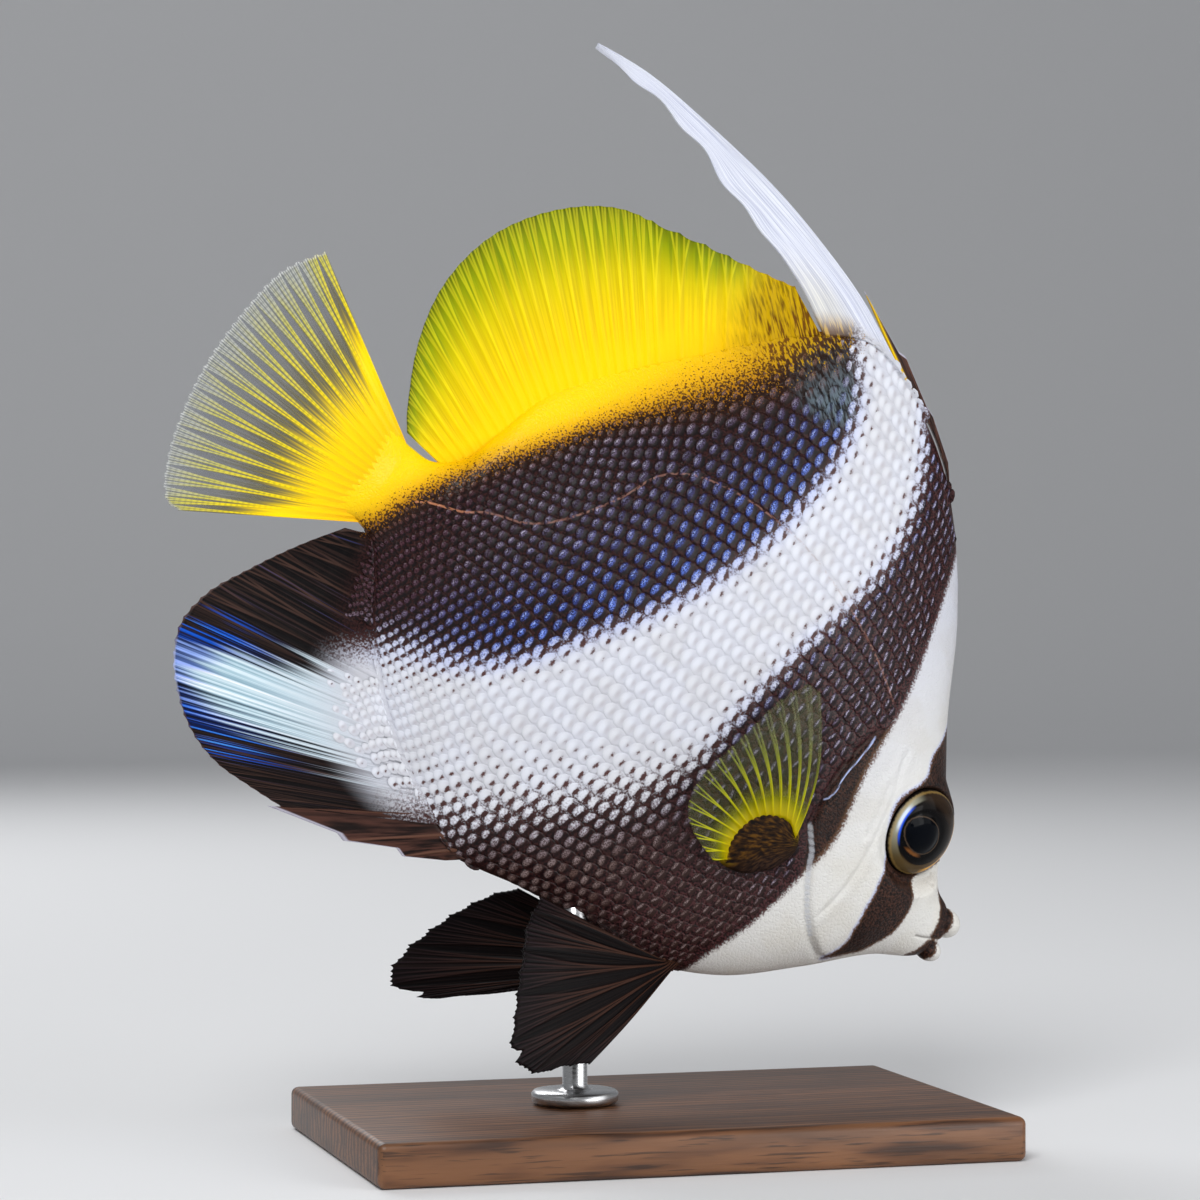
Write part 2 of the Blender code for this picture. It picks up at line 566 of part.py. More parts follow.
def add_median_fins(shop):
    yellow = finish("dorsal_yellow", (0.90, 0.72, 0.01), 0.45)
    brown = finish("spine_brown", (0.07, 0.035, 0.03), 0.4)

    # The three short spines in front of the banner
    spines_root = edge_line(BACK, FRONT_SPINES_BASE, 1)
    spine_tips = stepped(FRONT_SPINE_TIPS)
    fin_object(
        shop, "dorsal_spines_front", brown,
        lambda across, out: between(spines_root(across), spine_tips(across), out),
        ray_thickness(FRONT_SPINES_SWELL), SPINE_COLUMNS, 3,
    )

    # The long white fourth spine with its trailing membrane
    banner_root = edge_line(BACK, BANNER_BASE, 1)
    front_edge = outline(BANNER_FRONT)
    rear_edge = outline(BANNER_REAR)

    def banner_point(across, out):
        flat = between(front_edge.at(out), rear_edge.at(out), across)
        chord = between(front_edge.at(0.0), rear_edge.at(0.0), across)
        return flat + (banner_root(across) - chord) * (1.0 - out) ** 4

    def banner_thickness(across, out, _ridge):
        spine = max(0.0, 1.0 - across / BANNER_SPINE_SHARE) * BANNER_SPINE * (1.0 - BANNER_SPINE_TAPER * out)
        extra, reach = BANNER_SWELL
        return MEMBRANE + spine + max(0.0, 1.0 - out / reach) * extra

    fin_object(
        shop, "banner", finish("banner_white", (0.86, 0.87, 0.90), 0.4),
        banner_point, banner_thickness, even_places(4), 16,
    )

    # Seven spines and then the soft rays
    places = [DORSAL_SPINY * place for place in even_places(DORSAL_SPINES + 1)[:-1]]
    places += [DORSAL_SPINY + (1 - DORSAL_SPINY) * place for place in even_places(DORSAL_RAYS)]
    dorsal_root = edge_line(BACK, DORSAL_BASE, 1)
    dorsal_margin = outline(DORSAL_MARGIN)
    fin_object(
        shop, "dorsal_fin", yellow,
        lambda across, out: between(dorsal_root(across), dorsal_margin.at(across ** DORSAL_CROWDING), out),
        ray_thickness(DORSAL_SWELL), places, 4, notch=0.025,
    )

    # Three anal spines, then the soft anal fin
    anal_spines_root = edge_line(BELLY, ANAL_SPINES_BASE, -1)
    anal_tips = stepped(ANAL_SPINE_TIPS)
    fin_object(
        shop, "anal_spines", brown,
        lambda across, out: between(anal_spines_root(across), anal_tips(across), out),
        ray_thickness(ANAL_SPINES_SWELL), SPINE_COLUMNS, 4,
    )
    anal_root = edge_line(BELLY, ANAL_BASE, -1)
    anal_margin = outline(ANAL_MARGIN)
    fin_object(
        shop, "anal_fin", finish("anal_fin_brown", (0.09, 0.06, 0.08), 0.35),
        lambda across, out: between(anal_root(across), anal_margin.at(across), out),
        ray_thickness(ANAL_SWELL), even_places(ANAL_RAYS), 4, notch=0.015,
    )

    caudal_margin = outline(CAUDAL_MARGIN)

    def caudal_point(across, out):
        root = between(*CAUDAL_BASE, across) + np.array([GAP, 0.0])
        return between(root, caudal_margin.at(across), out)

    def caudal_thickness(across, out, ridge):
        extra, reach = CAUDAL_SWELL
        flesh = max(0.0, 1.0 - out / reach) ** 2 * extra * math.sin(math.pi * across)
        return MEMBRANE + RAY_RIDGE * ridge * (1.0 - RAY_TAPER * out) + flesh

    fin_object(
        shop, "caudal_fin", finish("caudal_yellow", (0.85, 0.70, 0.05), 0.45),
        caudal_point, caudal_thickness, even_places(CAUDAL_RAYS), 6, notch=0.01,
    )


def pectoral_pad_centre(side):
    u, v = PECTORAL_PAD_CENTRE
    return (u, v, (half_width_at(u, v) - PECTORAL_PAD_SUNK) * side)


def fan_point(root_at, tips, bow):
    # A paired fin whose rays run from a short root line to their tips and bow outward
    def point(across, out):
        start = np.array(root_at(across))
        outward = np.array([0.0, 0.0, bow * math.sin(math.pi * out)])
        return between(start, tips.at(across), out) + outward
    return point


def add_paired_fins(shop):
    # Each fin grows from a fleshy pad that sits in a seat of the trunk
    for side, word in ((1, "left"), (-1, "right")):
        def pectoral_root(across):
            u, v = between(*PECTORAL_ROOT, across)
            return (u, v, (half_width_at(u, v) + PECTORAL_LIFT) * side)

        tips = outline([mirrored(tip, side) for tip in PECTORAL_TIPS])
        pectoral = fin_object(
            shop, f"pectoral_fin_{word}", finish(f"pectoral_yellow_{word}", (0.60, 0.58, 0.08), 0.4),
            fan_point(pectoral_root, tips, PECTORAL_BOW * side),
            ray_thickness(PECTORAL_SWELL), even_places(PECTORAL_RAYS), 4, notch=0.02,
        )
        name = f"pectoral_pad_{word}"
        pad = ball_mesh(name, pectoral_pad_centre(side), PECTORAL_PAD, faces=PAD_FACES)
        cut(pectoral, shop.cutter(name, pad), "UNION")

        root_centre = mirrored(PELVIC_ROOT, side)
        pelvic_tips = LEFT_PELVIC_TIPS if side == 1 else RIGHT_PELVIC_TIPS

        def pelvic_root(across):
            u, v, w = root_centre
            down, out = PELVIC_ROOT_SHIFT
            return (u + PELVIC_ROOT_HALF * (2 * across - 1), v + down, w + out * side)

        tips = outline([mirrored(tip, side) for tip in pelvic_tips])
        pelvic = fin_object(
            shop, f"pelvic_fin_{word}", finish(f"pelvic_brown_{word}", (0.045, 0.025, 0.022), 0.45),
            fan_point(pelvic_root, tips, PELVIC_BOW * side),
            ray_thickness(PELVIC_SWELL), even_places(PELVIC_RAYS), 5, notch=0.05,
        )
        name = f"pelvic_pad_{word}"
        pad = ball_mesh(name, root_centre, PELVIC_PAD, faces=SMALL_PAD_FACES)
        cut(pelvic, shop.cutter(name, pad), "UNION", "MANIFOLD")


def add_stand(shop):
    bm = bmesh.new()
    bmesh.ops.create_cube(bm, size=1.0)
    bmesh.ops.scale(bm, vec=Vector((BASE_LENGTH, BASE_WIDTH, BASE_HEIGHT)) * MM, verts=bm.verts)
    bmesh.ops.translate(bm, vec=Vector((0.0, 0.0, BASE_HEIGHT / 2)) * MM, verts=bm.verts)
    base = new_object(
        "stand_base", mesh_from(bm, "stand_base", smooth=False), None, shop.parts,
        finish("stand_walnut", (0.10, 0.055, 0.03), 0.45),
    )
    bevel = base.modifiers.new("edges", "BEVEL")
    bevel.width = BASE_EDGE * MM
    bevel.segments = 3

    # The rod is turned, with a round foot that stands on the base
    foot = BASE_HEIGHT + GAP
    profile = [
        (0.0, BELLY_OVER_ROD + ROD_DEPTH), (ROD_RADIUS, BELLY_OVER_ROD + ROD_DEPTH),
        (ROD_RADIUS, foot + ROD_FOOT_HEIGHT), (ROD_FOOT_RADIUS, foot + ROD_FOOT_HEIGHT),
        (ROD_FOOT_RADIUS, foot), (0.0, foot),
    ]
    bm = bmesh.new()
    verts = [bm.verts.new(Vector((x, 0.0, z)) * MM) for x, z in profile]
    for start, end in zip(verts, verts[1:]):
        bm.edges.new((start, end))
    rod = new_object(
        "stand_rod", mesh_from(bm, "stand_rod", smooth=False), None, shop.parts,
        finish("stand_steel", (0.60, 0.60, 0.62), 0.3, 1.0),
    )
    rod.location = Vector((ROD_X, 0.0, 0.0)) * MM
    turned = rod.modifiers.new("turned", "SCREW")
    turned.steps = TURNED_STEPS
    turned.render_steps = TURNED_STEPS
    turned.use_merge_vertices = True
    turned.merge_threshold = 0.00001


def main():
    for item in list(bpy.data.objects):
        bpy.data.objects.remove(item, do_unlink=True)
    shop = Workshop()
    skin = body_mesh("skin")
    add_head(shop, skin)
    add_trunk(shop, skin)
    add_median_fins(shop)
    add_paired_fins(shop)
    add_stand(shop)


main()
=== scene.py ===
# Masked bannerfish: the looks of a still, life-size display model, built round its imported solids.
# The fish is worked out in millimetres in its own frame, u from snout to tail, v up to the back
# and w out to its left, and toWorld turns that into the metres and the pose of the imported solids.
import math

import bmesh
import bpy
import numpy as np
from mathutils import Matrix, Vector


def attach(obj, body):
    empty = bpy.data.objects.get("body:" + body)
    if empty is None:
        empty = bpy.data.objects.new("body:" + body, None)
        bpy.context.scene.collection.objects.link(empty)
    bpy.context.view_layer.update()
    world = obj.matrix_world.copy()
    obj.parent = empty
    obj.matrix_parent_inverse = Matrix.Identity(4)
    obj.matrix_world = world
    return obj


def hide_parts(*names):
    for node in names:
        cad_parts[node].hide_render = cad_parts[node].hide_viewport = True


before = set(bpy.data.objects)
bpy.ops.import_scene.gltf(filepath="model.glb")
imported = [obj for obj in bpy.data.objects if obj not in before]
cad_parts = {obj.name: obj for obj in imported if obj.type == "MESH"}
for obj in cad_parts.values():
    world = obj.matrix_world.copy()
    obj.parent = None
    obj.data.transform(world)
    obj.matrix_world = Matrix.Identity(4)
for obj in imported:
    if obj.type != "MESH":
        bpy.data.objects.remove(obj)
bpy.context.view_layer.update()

mm = 0.001

pose = {
    "pitch": 36.7,          # degrees nose down
    "snoutX": 53.5,         # where the origin of the fish's frame stands
    "snoutZ": 34.7,
}

body = {
    "back": [(2.6, -4.2), (1.6, -1.6), (3.2, 0.9), (6.0, 2.4), (9.0, 6.2), (14.1, 14.8), (21.9, 26.4),
             (29.7, 40.2), (37.8, 50.7), (45.0, 57.7), (54.0, 63.4), (63.2, 66.9), (71.0, 67.6), (78.0, 63.6),
             (91.9, 48.6), (103.1, 35.0), (108.3, 26.5), (110.9, 17.5), (113.4, 10.0), (117.0, 7.2),
             (121.0, 7.0)],
    "belly": [(2.6, -4.2), (1.2, -6.2), (2.4, -8.4), (9.2, -13.3), (17.9, -21.9), (28.9, -31.4),
    (36.5, -35.2),
              (49.5, -36.7), (64.1, -39.0), (76.5, -41.0), (86.1, -37.4), (95.7, -32.2), (103.3, -26.2),
              (109.6, -19.1), (114.0, -12.6), (117.4, -9.0), (121.0, -8.1)],
    "halfWidths": [(0.0, 1.2), (0.03, 3.0), (0.08, 5.7), (0.13, 8.2), (0.20, 9.7), (0.28, 10.6), (0.40, 10.9),
                   (0.52, 10.2), (0.64, 8.7), (0.76, 6.8), (0.88, 4.8), (0.95, 3.6), (1.0, 3.0)],
    "backKeels": [(0.0, 0.9), (0.15, 1.0), (0.35, 1.5), (0.50, 1.9), (0.80, 1.8), (0.95, 1.2), (1.0, 1.0)],
    "bellyKeels": [(0.0, 0.9), (0.20, 1.0), (0.50, 1.15), (0.65, 1.5), (0.85, 1.6), (0.95, 1.2), (1.0, 1.0)],
    "edgeHalf": 0.5,
    "flareEnd": 1.07,       # the flesh runs on over the root of the tail fin to this share
    "flareReach": 9.0,
    "inset": 0.28,          # the skin lies this deep under the scales' crests
    "around": 202,
    "along": 420,
}

head = {
    "upperLip": ((1.7, -1.4, 0.0), (2.7, 2.4, 2.7)),
    "lowerLip": ((1.6, -6.6, 0.0), (2.4, 1.9, 2.3)),
    "lipRoot": 2.0,         # mm behind a lip's middle
    "gillCentre": (7.0, 5.0),
    "gillRadius": 27.6,
    "gillTop": 21.0,
    "gillFoot": -68.0,
    "gillEdge": [(31.4, 18.4), (32.8, 14.9), (34.0, 10.7), (34.5, 6.4), (34.4, 2.1), (33.9, -1.2),
    (33.4, -4.0), (32.1, -5.6),
                 (30.6, -7.2), (29.6, -9.0), (27.6, -12.0), (24.8, -15.2), (21.6, -17.6), (17.2, -19.2)],
    "nostrils": [((8.3, 1.8), 0.4), ((9.5, 3.3), 0.35)],
    "cheekCreases": [[(26.8, 15.6), (26.1, 12.1), (25.0, 9.5), (24.1, 5.1), (23.3, 1.1), (22.5, -3.7),
    (22.4, -9.1), (23.2, -14.0)],
                     [(26.4, 9.6), (25.4, 5.0), (25.0, 2.8), (24.7, 0.5)]],
    "jawCrease": [(0.2, -4.4), (1.8, -4.6), (3.1, -5.2), (4.6, -6.1), (5.9, -6.6)],
    "coverLine": [(33.0, 14.6), (33.3, 11.5), (33.6, 8.3), (34.0, 5.8), (33.6, 3.4), (33.8, 1.8),
    (34.4, 0.7)],
    "rimFlap": [(33.8, -3.6), (32.3, -5.4), (30.7, -7.0), (29.9, -8.8), (27.8, -11.9), (25.0, -15.2),
    (21.8, -17.6)],
}

eye = {
    "centre": (16.45, 7.1, 5.5),
    "radius": 7.4,
    "depth": 3.4,
    "forward": 28.7,        # degrees that the eye turns to the snout
    "pupil": (1.75, -0.75),  # the pupil's middle on the iris, to the rear and up
}

# Small tools


def smoothLine(places, values):
    # a cubic through the values, the same line that the solids were made from
    places = np.array(places, float)
    values = np.array(values, float).reshape(len(places), -1)
    steps = np.diff(places)[:, None]
    rises = np.diff(values, axis=0) / steps
    inner = (rises[:-1] * steps[1:] + rises[1:] * steps[:-1]) / (steps[:-1] + steps[1:])
    slopes = np.vstack([rises[:1], inner, rises[-1:]])

    def at(where):
        where = np.clip(np.asarray(where, float), places[0], places[-1])
        i = np.clip(np.searchsorted(places, where, side="right") - 1, 0, len(places) - 2)
        step = (places[i + 1] - places[i])[..., None]
        t = (where - places[i])[..., None] / step
        start = values[i] * (1 + 2 * t) * (1 - t) ** 2 + slopes[i] * step * t * (1 - t) ** 2
        end = values[i + 1] * (3 - 2 * t) * t * t + slopes[i + 1] * step * t * t * (t - 1)
        return start + end
    return at


def outlineOf(points):
    # the line through points, read by the share of its length
    points = np.array(points, float)
    reach = np.concatenate([[0.0], np.cumsum(np.linalg.norm(np.diff(points, axis=0), axis=1))])
    return smoothLine(reach / reach[-1], points)


def levelsOf(pairs):
    places, values = zip(*pairs)
    line = smoothLine(places, values)
    return lambda where: line(where)[..., 0]


def ease(value, low, high):
    t = np.clip((np.asarray(value, float) - low) / (high - low), 0.0, 1.0)
    return t * t * (3 - 2 * t)


def cornersCut(points, closed=True, rounds=2):
    # a drawn border with its corners rounded off
    points = np.array(points, float)
    for _ in range(rounds):
        if closed:
            ahead = np.roll(points, -1, axis=0)
            points = np.stack([0.75 * points + 0.25 * ahead, 0.25 * points + 0.75 * ahead],
                axis=1).reshape(-1, 2)
        else:
            cut = [0.75 * points[:-1] + 0.25 * points[1:], 0.25 * points[:-1] + 0.75 * points[1:]]
            points = np.vstack([points[:1], np.stack(cut, axis=1).reshape(-1, 2), points[-1:]])
    return points


def lineDistance(points, line, closed=False):
    # distance in the side view from each point to a drawn line
    line = cornersCut(line, closed)
    ends = np.roll(line, -1, axis=0) if closed else line[1:]
    best = np.full(len(points), 1e9)
    for start, end in zip(line, ends):
        run = end - start
        t = np.clip(((points[:, :2] - start) @ run) / max(run @ run, 1e-9), 0, 1)
        away = points[:, :2] - start - t[:, None] * run
        best = np.minimum(best, (away ** 2).sum(axis=1))
    return np.sqrt(best)


def loopDepth(points, loop):
    # how far inside a drawn border each point lies, in mm; outside it is negative
    line = cornersCut(loop)
    inside = np.zeros(len(points), bool)
    for (u0, v0), (u1, v1) in zip(line, np.roll(line, -1, axis=0)):
        across = (v0 > points[:, 1]) != (v1 > points[:, 1])
        if v1 != v0:
            inside ^= across & (points[:, 0] < (u1 - u0) * (points[:, 1] - v0) / (v1 - v0) + u0)
    return np.where(inside, 1.0, -1.0) * lineDistance(points, loop, closed=True)


def toWorld(points):
    sine, cosine = math.sin(math.radians(pose["pitch"])), math.cos(math.radians(pose["pitch"]))
    u, v, w = points[:, 0], points[:, 1], points[:, 2]
    return np.stack([pose["snoutX"] - u * cosine + v * sine, w, pose["snoutZ"] + u * sine + v * cosine],
        axis=1) * mm


def pointsOf(mesh):
    points = np.zeros(len(mesh.vertices) * 3)
    mesh.vertices.foreach_get("co", points)
    return points.reshape(-1, 3)


def normalsOf(mesh):
    mesh.update()
    normals = np.zeros(len(mesh.vertices) * 3)
    mesh.vertex_normals.foreach_get("vector", normals)
    return normals.reshape(-1, 3)


def setPoints(mesh, points):
    mesh.vertices.foreach_set("co", np.ascontiguousarray(points, np.float32).ravel())
    mesh.update()


def setValues(mesh, name, values):
    layer = mesh.attributes.new(name, "FLOAT", "POINT")
    layer.data.foreach_set("value", np.ascontiguousarray(values, np.float32))


def meshFrom(bm, name):
    mesh = bpy.data.meshes.new(name)
    bm.to_mesh(mesh)
    bm.free()
    mesh.shade_smooth()
    return mesh


def addPiece(name, mesh, finish, nodes=()):
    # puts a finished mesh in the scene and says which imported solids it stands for
    piece = bpy.data.objects.new(name, mesh)
    bpy.context.scene.collection.objects.link(piece)
    mesh.materials.append(finish)
    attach(piece, "root")
    if nodes:
        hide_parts(*nodes)
    return piece


# The body's form

backLine = outlineOf(body["back"])
bellyLine = outlineOf(body["belly"])
halfWidth = levelsOf(body["halfWidths"])
backKeel = levelsOf(body["backKeels"])
bellyKeel = levelsOf(body["bellyKeels"])


def skinAt(share, turn):
    # a point of the flank: share from 0 at the snout to 1 at the tail, turn round the body
    share, turn = np.broadcast_arrays(np.asarray(share, float), np.asarray(turn, float))
    past = np.clip((share - 1.0) / (body["flareEnd"] - 1.0), 0.0, 1.0)
    top, bottom = backLine(share), bellyLine(share)
    top = top + np.stack([past * body["flareReach"], 0.8 * past + 3.3 * past ** 2], axis=-1)
    bottom = bottom + np.stack([past * body["flareReach"], -0.8 * past - 3.6 * past ** 2], axis=-1)
    middle = (top + bottom) / 2 + (top - bottom) / 2 * np.sin(turn)[..., None]
    cosine = np.cos(turn)
    keel = np.where(turn > 0, backKeel(share), bellyKeel(share))
    bulge = (halfWidth(share) * (1 - past) ** 1.6 - body["edgeHalf"] * (1 - past)) * np.abs(cosine) ** keel
    edge = body["edgeHalf"] * (1 - 0.4 * past) * np.abs(cosine) ** 0.35
    return np.concatenate([middle, (np.sign(cosine) * (edge + bulge))[..., None]], axis=-1)


def skinPlace(u, v):
    # the share and turn of the flank's point that the side view shows at u, v
    low, high = np.zeros(u.shape), np.full(u.shape, body["flareEnd"])
    for _ in range(26):
        share = (low + high) / 2
        past = np.clip((share - 1) / (body["flareEnd"] - 1), 0, 1)[..., None]
        top = backLine(share) + past * (body["flareReach"], 4.1)
        bottom = bellyLine(share) + past * (body["flareReach"], -4.4)
        run = top - bottom
        ahead = run[..., 0] * (v - bottom[..., 1]) - run[..., 1] * (u - bottom[..., 0]) < 0
        low, high = np.where(ahead, share, low), np.where(ahead, high, share)
    middle, half = (top + bottom) / 2, run / 2
    level = ((u - middle[..., 0]) * half[..., 0] + (v - middle[..., 1]) * half[...,
        1]) / (half ** 2).sum(axis=-1)
    return share, np.arcsin(np.clip(level, -1, 1))


# One flank in sections straight across the axis, so that scales can be laid out in real millimetres
stationGrid = np.linspace(25.0, 124.0, 199)
levelGrid = np.linspace(0.0, 1.0, 241)
outlineShares = np.linspace(0.0, 1.0, 4000)
topAt = np.interp(stationGrid, *np.append(backLine(outlineShares), [[130.0, 11.0]], axis=0).T)
bottomAt = np.interp(stationGrid, *np.append(bellyLine(outlineShares)[200:], [[130.0, -12.5]], axis=0).T)
heights = bottomAt[:, None] + (topAt - bottomAt)[:, None] * (0.5 - 0.5 * np.cos(math.pi * levelGrid[None, :]))
stations = np.broadcast_to(stationGrid[:, None], heights.shape)
shareTable, turnTable = skinPlace(stations, heights)
flank = skinAt(shareTable, turnTable)
arcTable = np.concatenate([np.zeros((len(stationGrid), 1)),
    np.cumsum(np.linalg.norm(np.diff(flank, axis=1), axis=2), axis=1)], axis=1)
# measured from the axis
arcTable -= np.array([np.interp(0.0, row, arcs) for row, arcs in zip(heights, arcTable)])[:, None]
topArc, bottomArc = arcTable[:, -1], -arcTable[:, 0]
evenLevels = np.linspace(-1.0, 1.0, 241)
evenArcs = [np.where(evenLevels > 0, evenLevels * t, evenLevels * b) for t, b in zip(topArc, bottomArc)]
shareTable = np.array([np.interp(wanted, arcs, row) for wanted, arcs,
    row in zip(evenArcs, arcTable, shareTable)])
turnTable = np.array([np.interp(wanted, arcs, row) for wanted, arcs,
    row in zip(evenArcs, arcTable, turnTable)])


def edgeArc(station, arc):
    # how far the flank reaches above or below the axis there
    return np.where(arc > 0, np.interp(station, stationGrid, topArc),
        np.interp(station, stationGrid, bottomArc))


def flankAt(station, arc):
    # a point of the left flank, arc millimetres above its axis, and on over the fins' roots
    limit = edgeArc(station, arc)
    i = np.clip((station - stationGrid[0]) / (stationGrid[1] - stationGrid[0]), 0, len(stationGrid) - 1.001)
    j = np.clip((np.clip(arc / limit, -1.0, 1.0) + 1) / 2 * 240, 0, 239.999)
    i0, j0 = i.astype(int), j.astype(int)
    fi, fj = i - i0, j - j0

    def read(table):
        return ((table[i0, j0] * (1 - fi) + table[i0 + 1, j0] * fi) * (1 - fj)
                + (table[i0, j0 + 1] * (1 - fi) + table[i0 + 1, j0 + 1] * fi) * fj)
    points = skinAt(read(shareTable), read(turnTable))
    beyond = np.maximum(np.abs(arc) - limit, 0.0)
    points[..., 1] += beyond * np.sign(arc)
    # past the belly's edge the scales climb on to the anal fin's root
    climb = ease(station, 80, 88) * (arc < 0)
    overFin = (np.maximum(0.70, 1.40 - 0.08 * beyond) - 0.5 * np.maximum(limit - np.abs(arc), 0.0)) * climb
    overEdge = np.where(beyond > 0, np.maximum(0.36, 0.95 - 0.085 * beyond), 0.3)
    points[..., 2] = np.maximum(points[..., 2], np.maximum(overFin, overEdge))
    return points


# Markings

marks = {
    # borders in the side view, drawn once and worn by the skin, the scales and the fins
    "frontBand": [(56.7, 67.5), (52.6, 60.2), (49.0, 52.6), (47.2, 40.0), (48.9, 28.7), (51.5, 20.7),
    (52.4, 14.1),
                  (53.7, 8.6), (54.4, 0.0), (54.9, -6.2), (59.8, -15.7), (69.0, -24.5), (78.1, -33.1),
                  (84.0, -37.6),
                  (90.0, -43.0), (86.0, -52.0), (60.0, -50.0), (38.0, -46.0), (34.4, -38.0), (34.2, -31.2),
                  (31.9, -24.4),
                  (30.3, -16.2), (29.7, -10.5), (29.0, -7.4), (28.7, -2.1), (29.6, 1.3), (30.1, 3.9),
                  (31.1, 8.1),
                  (31.4, 12.0), (31.6, 16.5), (32.0, 23.3), (33.6, 31.7), (35.2, 40.3), (36.6, 47.5),
                  (37.6, 54.0),
                  (45.0, 68.0), (52.0, 72.0)],
    "middleBand": [(110.2, -25.4), (103.4, -20.4), (97.4, -18.3), (92.2, -15.0), (86.4, -9.7), (82.0, -2.4),
    (76.1, 5.9),
                   (71.1, 15.6), (66.8, 26.8), (64.9, 36.2), (63.8, 47.3), (64.7, 54.9), (67.2, 60.5),
                   (71.5, 65.6),
                   (77.0, 76.0), (104.0, 60.0), (126.0, 30.0), (134.0, 10.0), (134.0, -6.0), (140.0, -22.0),
                   (136.0, -34.0), (133.0, -38.4), (124.6, -33.0), (115.5, -29.5)],
    "yellowArea": [(73.5, 64.2), (75.8, 63.8), (78.6, 57.2), (81.0, 52.3), (85.2, 46.3), (88.3, 41.9),
    (93.6, 34.8),
                   (98.9, 27.7), (103.6, 20.1), (108.5, 13.0), (113.1, 6.0), (117.0, -1.9), (118.2, -5.6),
                   (119.6, -8.3),
                   (124.0, -13.0), (150.0, -40.0), (190.0, 0.0), (160.0, 70.0), (100.0, 90.0), (74.0, 78.0)],
    "eyeBand": [(21.8, 29.0), (21.6, 21.1), (22.2, 18.5), (21.9, 17.1), (21.2, 15.6), (21.2, 13.9),
    (22.3, 11.5), (23.6, 9.2),
                (23.6, 6.2), (21.6, 3.0), (19.4, 0.6), (18.5, -1.8), (18.1, -4.1), (17.4, -6.5), (17.3, -8.5),
                (16.6, -10.9),
                (16.5, -12.6), (15.8, -14.5), (16.2, -16.6), (17.4, -19.5), (15.4, -17.6), (13.8, -15.9),
                (12.2, -14.4),
                (11.4, -12.4), (10.2, -9.9), (9.8, -7.9), (9.9, -5.9), (10.2, -3.6), (11.1, -2.2),
                (12.0, -0.3), (12.0, 1.2),
                (10.4, 3.6), (9.0, 6.4), (9.6, 13.5), (16.0, 24.0)],
    "upperLip": [(7.2, 2.5), (6.2, 2.3), (3.9, 1.5), (2.1, 0.5), (1.3, -1.2), (1.1, -3.6), (2.0, -5.0),
    (3.6, -5.4),
                 (3.7, -3.9), (3.9, -2.3), (4.9, -0.1), (6.2, 1.1)],
    "lowerLip": [(2.6, -4.9), (1.3, -5.3), (0.7, -6.8), (1.2, -8.8), (3.6, -11.0), (5.2, -10.2), (3.9, -8.2),
    (3.7, -6.7), (3.3, -5.4)],
    "ice": [(135.0, -41.5), (131.6, -41.5), (128.0, -38.9), (123.6, -35.6), (118.3, -34.3), (112.8, -30.8),
    (108.8, -28.4),
            (104.4, -26.4), (96.0, -22.0), (80.0, -14.0), (70.0, -24.0), (84.0, -36.5), (91.0, -39.0),
            (97.0, -39.6), (103.3, -40.6),
            (109.7, -42.4), (117.1, -44.6), (123.0, -45.8), (128.2, -46.2), (134.5, -45.0)],
    "lateralLine": [(33.9, 20.7), (43.0, 26.3), (57.8, 31.6), (67.2, 32.7), (79.3, 31.7), (86.8, 27.6),
    (89.6, 19.4),
                    (97.6, 7.8), (105.6, 5.3), (108.4, 2.8), (112.1, 1.6), (114.7, 0.5), (115.7, -0.6)],
}


def markValues(points):
    # the shader's inputs: depths inside the bands, in units of each border's own softness
    u, v = points[:, 0], points[:, 1]
    front = loopDepth(points, marks["frontBand"])
    middle = loopDepth(points, marks["middleBand"])
    soft = 0.7 + 1.1 * ease(u, 38, 46) + 3.2 * ease(-v, 2, 20) * ease(u, 40, 58)
    softMiddle = 2.1 + 1.4 * ease(u, 85, 104)
    headBand = np.maximum(loopDepth(points, marks["eyeBand"]), loopDepth(points, marks["upperLip"]))
    headBand = np.maximum(headBand, loopDepth(points, marks["lowerLip"]))
    gold = loopDepth(points, marks["yellowArea"]) / (1.5 + 2.4 * ease(v, 25, 55))
    dark = np.maximum(np.maximum(front / soft, middle / softMiddle), headBand / 0.35)
    blueMiddle = ease(middle, -4, 1) * (1 - 0.55 * ease(middle, 3, 18)) * (1 - ease(u + 0.45 * v, 84, 106))
    blueFront = 0.55 * ease(front, -3, 0) * (1 - 0.9 * ease(front, 1.0, 5.5)) * ease(u, 36, 46) * ease(v, -12,
        8)
    blueHead = ease(headBand, -1.2, -0.1) * (1 - ease(headBand, 0.0, 0.9)) * ease(u, 14.0, 17.0)
    slate = np.exp(-(((u - 71.0) / 8.0) ** 2 + ((v - 59.0) / 7.5) ** 2) ** 1.5)
    return {
        "dark": np.clip(dark, -6, 6),
        "gold": np.clip(gold, -6, 6),
        "blue": np.clip(np.maximum(np.maximum(blueMiddle, 0.8 * blueFront), blueHead), 0, 1),
        "slate": slate,
        "rear": ease(u - 0.12 * v, 98, 112),
        "warm": ease(v, 48, 60) * ease(u, 68, 74) * (1 - ease(u, 88, 97)),
        "lateral": lineDistance(points, marks["lateralLine"]),
        "headSkin": 1 - ease(np.hypot(u - 7.0, v - 5.0), 27.2, 28.0) * ease(u, 22, 25),
        "face": 1 - ease(u + 0.3 * v, 18, 50),
        "slender": 1 - ease(u, 48, 60),
        "belly": ease(-v, 8, 22) * (1 - ease(u, 92, 104)),
    }


bareSkin = (-0.6, 0.9)      # the place on a scale whose tone skin without scales takes


def wearMarks(mesh, points, **extra):
    for name, values in {**markValues(points), **extra}.items():
        setValues(mesh, name, values)


# Finishes


